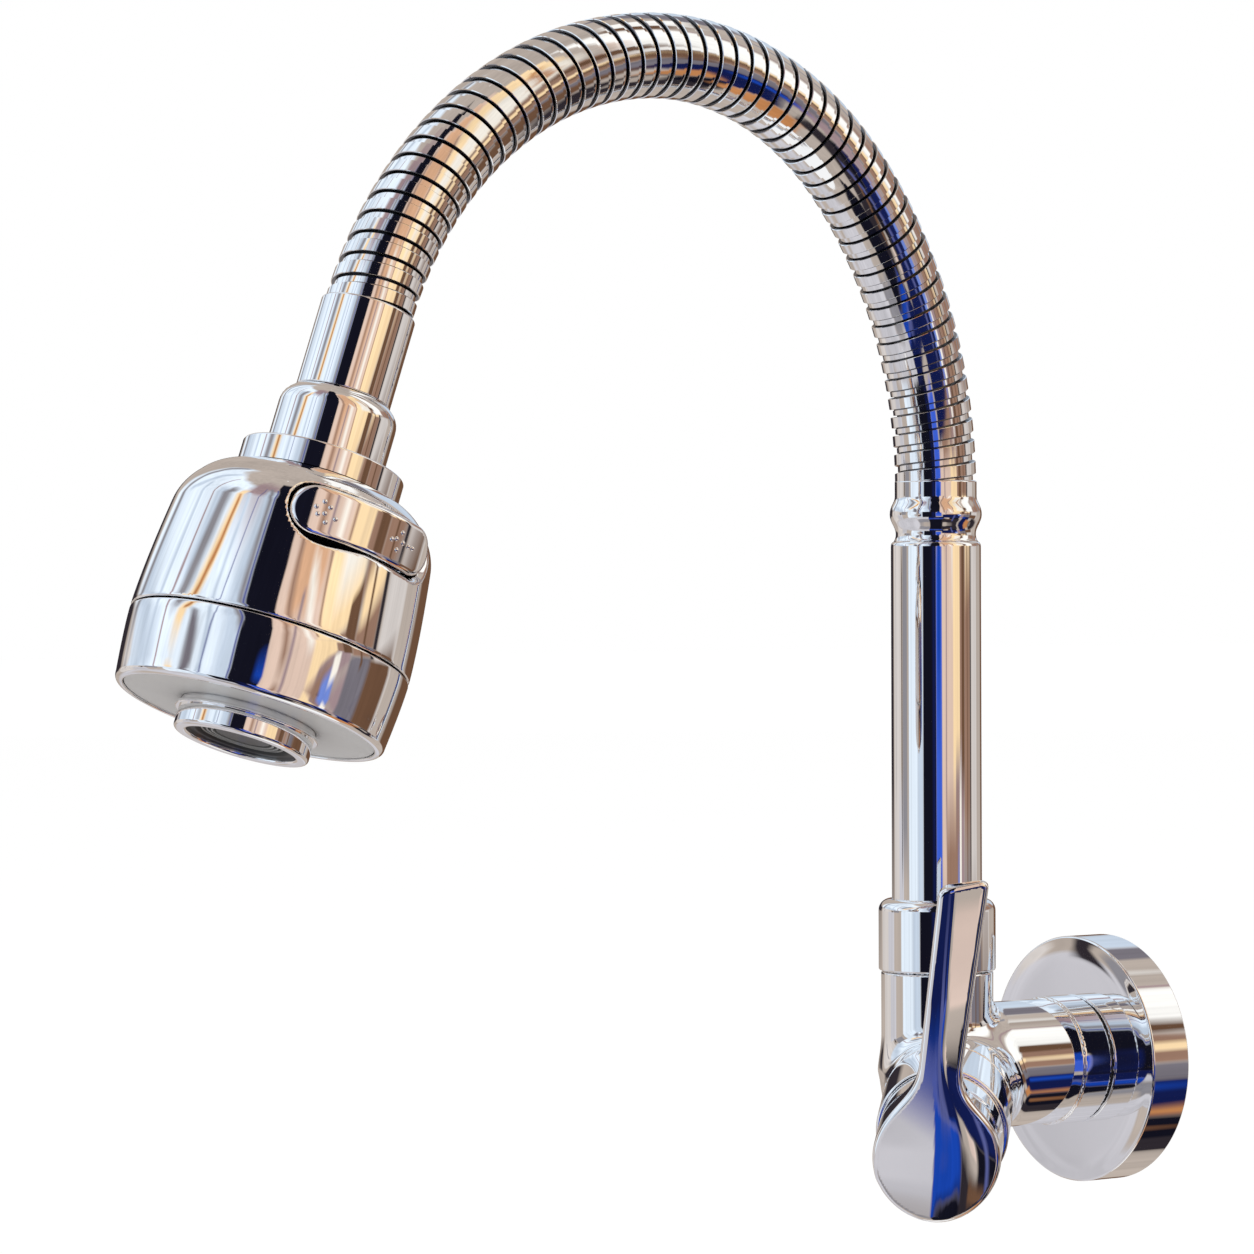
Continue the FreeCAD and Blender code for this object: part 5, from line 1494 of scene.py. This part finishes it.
def dress_inner() -> None:
    """Dresses the nodes that stay."""
    for finish, nodes in INNER.items():
        for node in nodes:
            dress(node_object(node), finish)
            LOG.info("node %s in %s", node, finish.value.name)


# Studio: the cards that the chrome mirrors, the lamps and the floor
SCREEN_GAMMA = 2.2
CHROME_SHARE = 0.92
WHITE = solid((1.0, 1.0, 1.0))


class Card(Enum):
    """Colours of the studio's cards, as the eye sees them in the chrome."""

    SKY = (0.91, 0.955, 1.0)
    WHITE = (1.0, 0.99, 0.97)
    LINEN = (0.83, 0.80, 0.78)
    HAZE = (0.76, 0.81, 0.87)
    MIST = (0.79, 0.78, 0.80)
    SMOKE = (0.54, 0.53, 0.55)
    STONE = (0.71, 0.66, 0.62)
    CLAY = (0.60, 0.47, 0.40)
    UMBER = (0.42, 0.31, 0.24)
    ROSE = (0.62, 0.53, 0.54)
    TAN = (0.87, 0.76, 0.69)
    HONEY = (0.87, 0.68, 0.54)
    CREAM = (0.98, 0.95, 0.90)
    AZURE = (0.44, 0.53, 0.82)
    PLUM = (0.47, 0.45, 0.48)
    BLUSH = (0.84, 0.75, 0.70)
    PEACH = (1.0, 0.87, 0.68)
    AMBER = (0.74, 0.50, 0.32)
    BLUE = (0.25, 0.38, 0.82)
    ROYAL = (0.12, 0.27, 0.66)
    SLATE = (0.34, 0.36, 0.56)
    NAVY = (0.10, 0.13, 0.30)
    NIGHT = (0.10, 0.10, 0.14)
    DUSK = (0.20, 0.18, 0.20)

    def glow(self) -> tuple[float, float, float, float]:
        """The card's own glow, from how it looks in the chrome."""
        return solid(tuple(channel ** SCREEN_GAMMA / CHROME_SHARE for channel in self.value))


@dataclass(frozen=True)
class Panel:
    """One card: its reach round from the camera and upward in degrees, its edge and its lean."""

    start: float
    end: float
    low: float
    high: float
    card: Card
    soft: float = 1.6
    lean: float = 0.0

    def share(self, turn: Value, rise: Value) -> Value:
        """How far the card covers what lies behind it.

        Args:
            turn: Degrees round from the camera.
            rise: Degrees upward.

        Returns:
            One on the card and nought beside it, with a soft edge.
        """
        across = turn - (self.start + self.end) / 2
        upward = rise - (self.low + self.high) / 2
        if self.lean:
            across = across + upward * self.lean
        return (self.window(across, (self.end - self.start) / 2)
                * self.window(upward, (self.high - self.low) / 2))

    def window(self, offset: Value, half: float) -> Value:
        """One within half of the middle, falling to nought across the soft edge."""
        away = offset.math("ABSOLUTE") * -1.0
        return away.between(-half - self.soft / 2, -half + self.soft / 2)


@dataclass
class Studio:
    """A plain soft studio: a ring of cards that only the metal mirrors, soft lamps and a pale floor."""

    panels: tuple[Panel, ...] = (
        # Left of the camera, above and level
        Panel(-150.0, -18.0, 10.0, 64.0, Card.SKY, 5.0),
        Panel(-60.0, -18.0, 46.0, 74.0, Card.ROSE, 12.0),
        Panel(-140.0, -96.0, 10.0, 20.0, Card.HAZE, 8.0),
        Panel(-92.0, -78.0, 30.0, 48.0, Card.HAZE, 8.0),
        Panel(-64.0, -54.0, 12.0, 24.0, Card.SMOKE, 6.0),
        Panel(-34.0, -18.0, 14.0, 60.0, Card.HAZE, 8.0),
        Panel(-141.0, -108.0, -20.0, 10.0, Card.LINEN),
        Panel(-200.0, -146.0, -4.0, 9.0, Card.DUSK, 4.0),
        Panel(-116.0, -98.0, -22.0, -1.5, Card.MIST),
        Panel(-104.5, -102.0, -3.5, 4.5, Card.DUSK, 1.0),
        Panel(-100.0, -79.0, -3.0, 11.0, Card.SMOKE),
        Panel(-85.0, -79.0, -3.0, 11.0, Card.STONE),
        Panel(-79.0, -52.0, -22.0, 11.0, Card.SKY),
        Panel(-53.0, -37.0, -22.0, 11.0, Card.HAZE, 5.0),
        # Left of the camera, below
        Panel(-200.0, -56.0, -66.0, -21.0, Card.MIST, 6.0),
        Panel(-170.0, -120.0, -44.0, -30.0, Card.STONE, 8.0),
        Panel(-56.0, -22.5, -33.0, -20.0, Card.MIST, 2.5),
        Panel(-56.0, -22.5, -46.0, -33.0, Card.SMOKE, 5.0),
        # In front
        Panel(-18.0, 8.0, 10.0, 26.0, Card.NIGHT),
        Panel(-18.0, 13.0, 24.0, 80.0, Card.NIGHT, 3.0),
        Panel(-37.0, -3.0, -21.0, 13.0, Card.NIGHT),
        Panel(-3.0, 11.5, -15.0, 7.5, Card.BLUE, 2.5),
        Panel(-22.5, 20.0, -30.0, -20.0, Card.NAVY),
        Panel(-22.5, 17.0, -36.0, -29.5, Card.ROYAL, 2.5),
        Panel(-22.5, 20.0, -62.0, -35.0, Card.NIGHT, 3.0),
        Panel(0.0, 9.0, 2.0, 13.0, Card.ROYAL, 4.0, -0.2),
        # Right of the camera, above and level
        Panel(8.0, 48.0, 8.0, 66.0, Card.TAN),
        Panel(16.0, 41.0, 22.0, 64.0, Card.HONEY, 6.0),
        Panel(12.0, 48.0, -4.0, 9.0, Card.TAN, 2.5),
        Panel(44.0, 72.0, 8.0, 62.0, Card.PEACH, 4.0),
        Panel(54.0, 74.0, 15.0, 44.0, Card.CREAM, 6.0),
        Panel(41.0, 60.0, -1.0, 9.0, Card.PEACH, 2.5),
        Panel(60.0, 67.0, 0.0, 7.5, Card.CLAY),
        Panel(48.0, 72.0, -5.0, 0.0, Card.ROSE),
        Panel(23.0, 57.0, -9.0, -1.4, Card.CLAY, 2.5),
        Panel(65.5, 74.0, -1.0, 12.0, Card.UMBER),
        Panel(74.0, 81.0, 9.0, 28.0, Card.CLAY, 3.0),
        Panel(74.0, 93.0, -3.0, 5.5, Card.CLAY, 3.0),
        Panel(76.0, 94.0, 5.0, 10.5, Card.PEACH, 3.0),
        Panel(80.0, 93.0, 28.0, 46.0, Card.TAN, 4.0),
        Panel(106.0, 150.0, 22.0, 50.0, Card.STONE, 5.0),
        Panel(82.0, 105.0, 10.0, 66.0, Card.WHITE, 4.0),
        Panel(108.0, 122.0, 50.0, 64.0, Card.UMBER, 4.0),
        Panel(144.0, 200.0, 36.0, 50.0, Card.PLUM, 5.0),
        Panel(122.0, 146.0, 48.0, 66.0, Card.WHITE, 4.0),
        Panel(106.0, 150.0, 6.0, 22.0, Card.CLAY, 5.0),
        Panel(98.0, 121.0, -18.0, 6.0, Card.LINEN, 3.0),
        Panel(121.0, 146.0, -18.0, 6.0, Card.STONE, 3.0),
        Panel(146.0, 200.0, -20.0, 8.0, Card.UMBER, 5.0),
        Panel(150.0, 200.0, 8.0, 36.0, Card.HAZE, 5.0),
        # Right of the camera, below
        Panel(15.0, 62.0, -25.0, -4.5, Card.NAVY),
        Panel(62.0, 76.0, -24.0, -6.0, Card.ROSE, 4.0),
        Panel(54.5, 63.0, -12.0, -3.0, Card.AZURE, 2.0, 0.4),
        Panel(34.0, 62.0, -34.0, -24.0, Card.NIGHT, 3.0),
        Panel(26.0, 32.8, -28.3, -25.3, Card.BLUSH, 0.6),
        Panel(16.0, 66.0, -46.0, -31.0, Card.DUSK, 3.0),
        Panel(24.0, 44.0, -35.0, -31.5, Card.UMBER, 2.0),
        Panel(72.0, 94.0, -14.0, -3.5, Card.PLUM, 3.0),
        Panel(72.0, 94.0, -46.0, -14.0, Card.NAVY, 4.0),
        Panel(70.0, 81.0, -23.0, -17.0, Card.ROYAL, 4.0),
        Panel(92.0, 118.0, -18.0, -5.0, Card.UMBER, 4.0),
        Panel(88.0, 104.0, -38.0, -26.0, Card.AMBER, 4.0),
        Panel(104.0, 134.0, -52.0, -18.0, Card.DUSK, 5.0),
        Panel(92.0, 114.0, -52.0, -38.0, Card.NIGHT, 4.0),
        Panel(106.0, 118.0, -37.0, -28.0, Card.STONE, 4.0),
        Panel(62.0, 104.0, -72.0, -46.0, Card.AMBER, 5.0),
        Panel(134.0, 200.0, -70.0, -20.0, Card.STONE, 5.0),
    )
    # Narrow cards laid over the others
    strips: tuple[Panel, ...] = (
        Panel(-146.0, -140.0, 8.0, 60.0, Card.SMOKE, 4.0, 0.2),
        Panel(-131.0, -129.5, -2.0, 8.0, Card.SMOKE, 1.0),
        Panel(-128.0, -122.0, 24.0, 62.0, Card.HAZE, 4.0, -0.3),
        Panel(-113.0, -108.0, 12.0, 44.0, Card.HAZE, 3.0, 0.4),
        Panel(-97.0, -95.0, 12.0, 60.0, Card.ROSE, 1.5, 0.25),
        Panel(-84.0, -76.0, 26.0, 52.0, Card.SMOKE, 5.0, -0.4),
        Panel(-73.0, -64.0, 22.0, 54.0, Card.PEACH, 4.0, -0.5),
        Panel(-70.0, -66.5, 27.0, 47.0, Card.AMBER, 2.5, -0.5),
        Panel(-63.0, -54.0, 10.0, 27.0, Card.PLUM, 5.0, 0.5),
        Panel(-50.0, -46.0, 12.0, 50.0, Card.HAZE, 3.0, 0.3),
        Panel(-42.0, -41.0, 10.0, 62.0, Card.SLATE, 1.5, -0.15),
        Panel(-27.0, -22.0, 24.0, 66.0, Card.SMOKE, 4.0, 0.2),
        Panel(-20.5, -18.5, 12.0, 66.0, Card.SLATE, 1.5),
        Panel(-12.0, -6.0, -18.0, 10.0, Card.NAVY, 6.0),
        Panel(14.0, 18.0, 8.0, 60.0, Card.CLAY, 4.0, 0.15),
        Panel(23.5, 26.0, -2.0, 26.0, Card.ROSE, 2.0, -0.2),
        Panel(33.0, 37.0, 6.0, 30.0, Card.CREAM, 4.0, 0.3),
        Panel(42.0, 44.0, 12.0, 50.0, Card.CLAY, 2.0, 0.1),
        Panel(58.5, 63.5, -5.0, -0.5, Card.CREAM, 1.5),
        Panel(66.0, 69.0, 28.0, 52.0, Card.AMBER, 3.0, 0.2),
        Panel(75.0, 85.0, 17.0, 25.0, Card.UMBER, 3.0),
        Panel(82.0, 84.0, -8.0, 12.0, Card.UMBER, 1.5),
        Panel(93.0, 96.5, -4.0, 9.0, Card.DUSK, 1.5),
        Panel(110.0, 112.0, 4.0, 46.0, Card.ROSE, 2.0, 0.2),
        Panel(130.0, 134.0, 4.0, 40.0, Card.SMOKE, 3.0),
        Panel(-8.0, 6.0, -30.5, -27.0, Card.SLATE, 3.0),
        Panel(44.0, 48.0, -40.0, -8.0, Card.SLATE, 3.0),
    )
    camera_azimuth: float = 54.7
    reach: float = 6.0
    middle: tuple[float, float, float] = (0.0, -0.13, 0.1)
    lowest: float = -72.0
    highest: float = 89.5
    around: int = 96
    upward: int = 40
    # Degrees that the cards' edges wander, and from and to which height by how many more
    wander: float = 0.6
    wander_above: tuple[float, float, float] = (8.0, 22.0, 11.0)
    wander_below: tuple[float, float, float] = (8.0, 30.0, 6.0)
    streaks: float = 0.16
    clouds: float = 0.26
    dimmest: float = 0.78
    soft_light: float = 0.62
    lamps: tuple[tuple[str, tuple[float, float, float], float], ...] = (
        ("key_lamp", (-0.6, -1.2, 1.1), 14.0), ("fill_lamp", (1.3, -0.2, 0.9), 7.0))
    lamp_size: float = 0.8
    lamp_aim: tuple[float, float, float] = (0.0, -0.12, 0.1)
    floor_level: float = -0.1
    floor_reach: float = 12.0
    floor_glow: float = 1.035
    floor_glow_share: float = 0.93

    def build(self) -> None:
        """Makes the world, the ring of cards, the lamps and the floor."""
        self.build_world()
        self.build_ring()
        self.build_lamps()
        self.build_floor()

    def build_world(self) -> None:
        """Makes the plain world: white where it is seen, and a soft even light on everything."""
        world = bpy.data.worlds.new("studio")
        bpy.context.scene.world = world
        world.use_nodes = True
        graph = Graph(world.node_tree)
        light = graph.node("ShaderNodeLightPath").outputs
        seen = Value(graph, light["Is Camera Ray"]) + Value(graph, light["Is Glossy Ray"])
        seen = seen + Value(graph, light["Is Transmission Ray"])
        colour = graph.mix(seen.between(0.0, 1.0), solid((self.soft_light,) * 3), WHITE)
        back = graph.node("ShaderNodeBackground", None, {"Color": colour})
        graph.node("ShaderNodeOutputWorld", None, {"Surface": back.outputs[0]})

    def directions(self, graph: Graph) -> tuple[Value, Value]:
        """Where a point of the ring lies, seen from its middle, with a little wander.

        Args:
            graph: Nodes of the ring's material.

        Returns:
            Degrees round from the camera and degrees upward.
        """
        parts = graph.node("ShaderNodeSeparateXYZ", None, {0: graph.place()})
        x, y, z = (Value(graph, output) for output in parts.outputs)
        ahead = math.radians(self.camera_azimuth - 90.0)
        front = x * math.cos(ahead) + y * math.sin(ahead)
        side = y * math.cos(ahead) - x * math.sin(ahead)
        turn = side.math("ARCTAN2", front) * math.degrees(1.0)
        rise = (z / self.reach).math("ARCSINE") * math.degrees(1.0)
        low_above, high_above, most_above = self.wander_above
        low_below, high_below, most_below = self.wander_below
        wander = (rise.between(low_above, high_above) * most_above
                  + (rise * -1.0).between(low_below, high_below) * most_below + self.wander)
        turn = turn + (graph.noise(0.55, rough=0.4) - 0.5) * wander
        rise = rise + (graph.noise(0.7, stretch=(1.0, 1.0, 1.3), rough=0.4) - 0.5) * wander
        return turn, rise

    def ring_finish(self) -> bpy.types.Material:
        """The cards' glow, painted round the ring one card over the other.

        Returns:
            The material.
        """
        material, graph = new_material("studio_cards")
        turn, rise = self.directions(graph)
        colour = Card.STONE.glow()
        for panel in self.panels + self.strips:
            colour = graph.mix(panel.share(turn, rise), colour, panel.card.glow())
        streak = graph.noise(1.4, detail=2.0, stretch=(3.0, 3.0, 0.4)).between(0.25, 0.75)
        cloud = graph.noise(0.35).between(*MIDDLE)
        level = streak * self.streaks + cloud * self.clouds + self.dimmest
        grey = graph.node("ShaderNodeCombineColor", None, {0: level, 1: level, 2: level}).outputs[0]
        lit = graph.mix(1.0, colour, grey, "MULTIPLY")
        glow = graph.node("ShaderNodeEmission", None, {"Color": lit})
        graph.node("ShaderNodeOutputMaterial", None, {"Surface": glow.outputs[0]})
        material.cycles.emission_sampling = "NONE"
        return material

    def build_ring(self) -> None:
        """Makes the ring that the cards stand on, closed above and open below."""
        around = self.around
        points = []
        for rise in np.radians(np.linspace(self.lowest, self.highest, self.upward)):
            for turn in np.arange(around) * 2 * math.pi / around:
                points.append((self.reach * math.cos(rise) * math.cos(turn),
                               self.reach * math.cos(rise) * math.sin(turn), self.reach * math.sin(rise)))
        faces = [(r * around + c, r * around + (c + 1) % around, (r + 1) * around + (c + 1) % around,
                  (r + 1) * around + c) for r in range(self.upward - 1) for c in range(around)]
        mesh = bpy.data.meshes.new("studio_ring")
        mesh.from_pydata(points, [], faces)
        mesh.materials.append(self.ring_finish())
        ring = put_in("studio_ring", mesh)
        ring.location = self.middle
        for ray in ("camera", "diffuse", "shadow", "transmission", "volume_scatter"):
            setattr(ring, f"visible_{ray}", False)

    def build_lamps(self) -> None:
        """Makes the soft lamps."""
        for name, place, power in self.lamps:
            lamp = bpy.data.lights.new(name, "AREA")
            lamp.energy = power
            lamp.size = self.lamp_size
            holder = put_in(name, lamp)
            holder.location = place
            aim = Vector(self.lamp_aim) - Vector(place)
            holder.rotation_euler = aim.to_track_quat("-Z", "Y").to_euler()
            holder.visible_glossy = False

    def build_floor(self) -> None:
        """Makes the pale floor."""
        far = self.floor_reach
        mesh = bpy.data.meshes.new("studio_floor")
        mesh.from_pydata([(x, y, self.floor_level) for x, y in ((-far, -far), (far, -far), (far, far),
                                                                (-far, far))], [], [(0, 1, 2, 3)])
        floor = put_in("studio_floor", mesh)
        material, graph = new_material("pale_floor")
        tone = graph.noise(3.0, detail=4.0).between(*MIDDLE)
        matt = graph.node("ShaderNodeBsdfPrincipled", None, {
            "Base Color": graph.mix(tone, solid((0.9, 0.9, 0.9)), solid((0.86, 0.86, 0.86))),
            "Roughness": 0.8})
        glow = graph.node("ShaderNodeEmission", None, {"Color": WHITE, "Strength": self.floor_glow})
        seen = Value(graph, graph.node("ShaderNodeLightPath").outputs["Is Camera Ray"])
        both = graph.node("ShaderNodeMixShader", None, {
            0: seen * self.floor_glow_share, 1: matt.outputs[0], 2: glow.outputs[0]})
        graph.node("ShaderNodeOutputMaterial", None, {"Surface": both.outputs[0]})
        mesh.materials.append(material)
        floor.visible_glossy = False


@dataclass
class Viewpoint:
    """The camera where the photograph was taken from."""

    azimuth: float = 54.69318
    elevation: float = 0.49127
    roll: float = -0.21746
    place: tuple[float, float, float] = (0.91099, -0.79267, 0.11861)
    focal_pixels: float = 4780.38
    image_pixels: float = 1254.0
    sensor: float = 36.0
    nearest: float = 0.05

    def build(self) -> None:
        """Makes the camera."""
        azimuth, elevation, roll = (math.radians(v) for v in (self.azimuth, self.elevation, self.roll))
        forward = Vector((-math.sin(azimuth) * math.cos(elevation), math.cos(azimuth) * math.cos(elevation),
                          -math.sin(elevation)))
        right = Vector((math.cos(azimuth), math.sin(azimuth), 0.0))
        above = right.cross(forward)
        tilted = right * math.cos(roll) + above * math.sin(roll)
        upright = above * math.cos(roll) - right * math.sin(roll)
        data = bpy.data.cameras.new("camera")
        data.lens = self.focal_pixels / self.image_pixels * self.sensor
        data.sensor_width = self.sensor
        data.clip_start = self.nearest
        camera = put_in("camera", data)
        basis = Matrix((tilted, upright, -forward)).transposed().to_4x4()
        camera.matrix_world = Matrix.Translation(Vector(self.place)) @ basis
        bpy.context.scene.camera = camera


def main() -> None:
    """Builds the pieces in order."""
    logging.basicConfig(level=logging.INFO, format="%(message)s")
    bpy.context.scene.view_settings.view_transform = "Standard"
    Viewpoint().build()
    Studio().build()
    WallSide().build()
    ValveBody().build()
    LeverHandle().build()
    UprightPipe().build()
    Gooseneck().build()
    HeadSwivel().build()
    rocker = Rocker()
    HeadCover(rocker).build()
    Outlet().build()
    rocker.build()
    dress_inner()


if __name__ == "__main__":
    main()
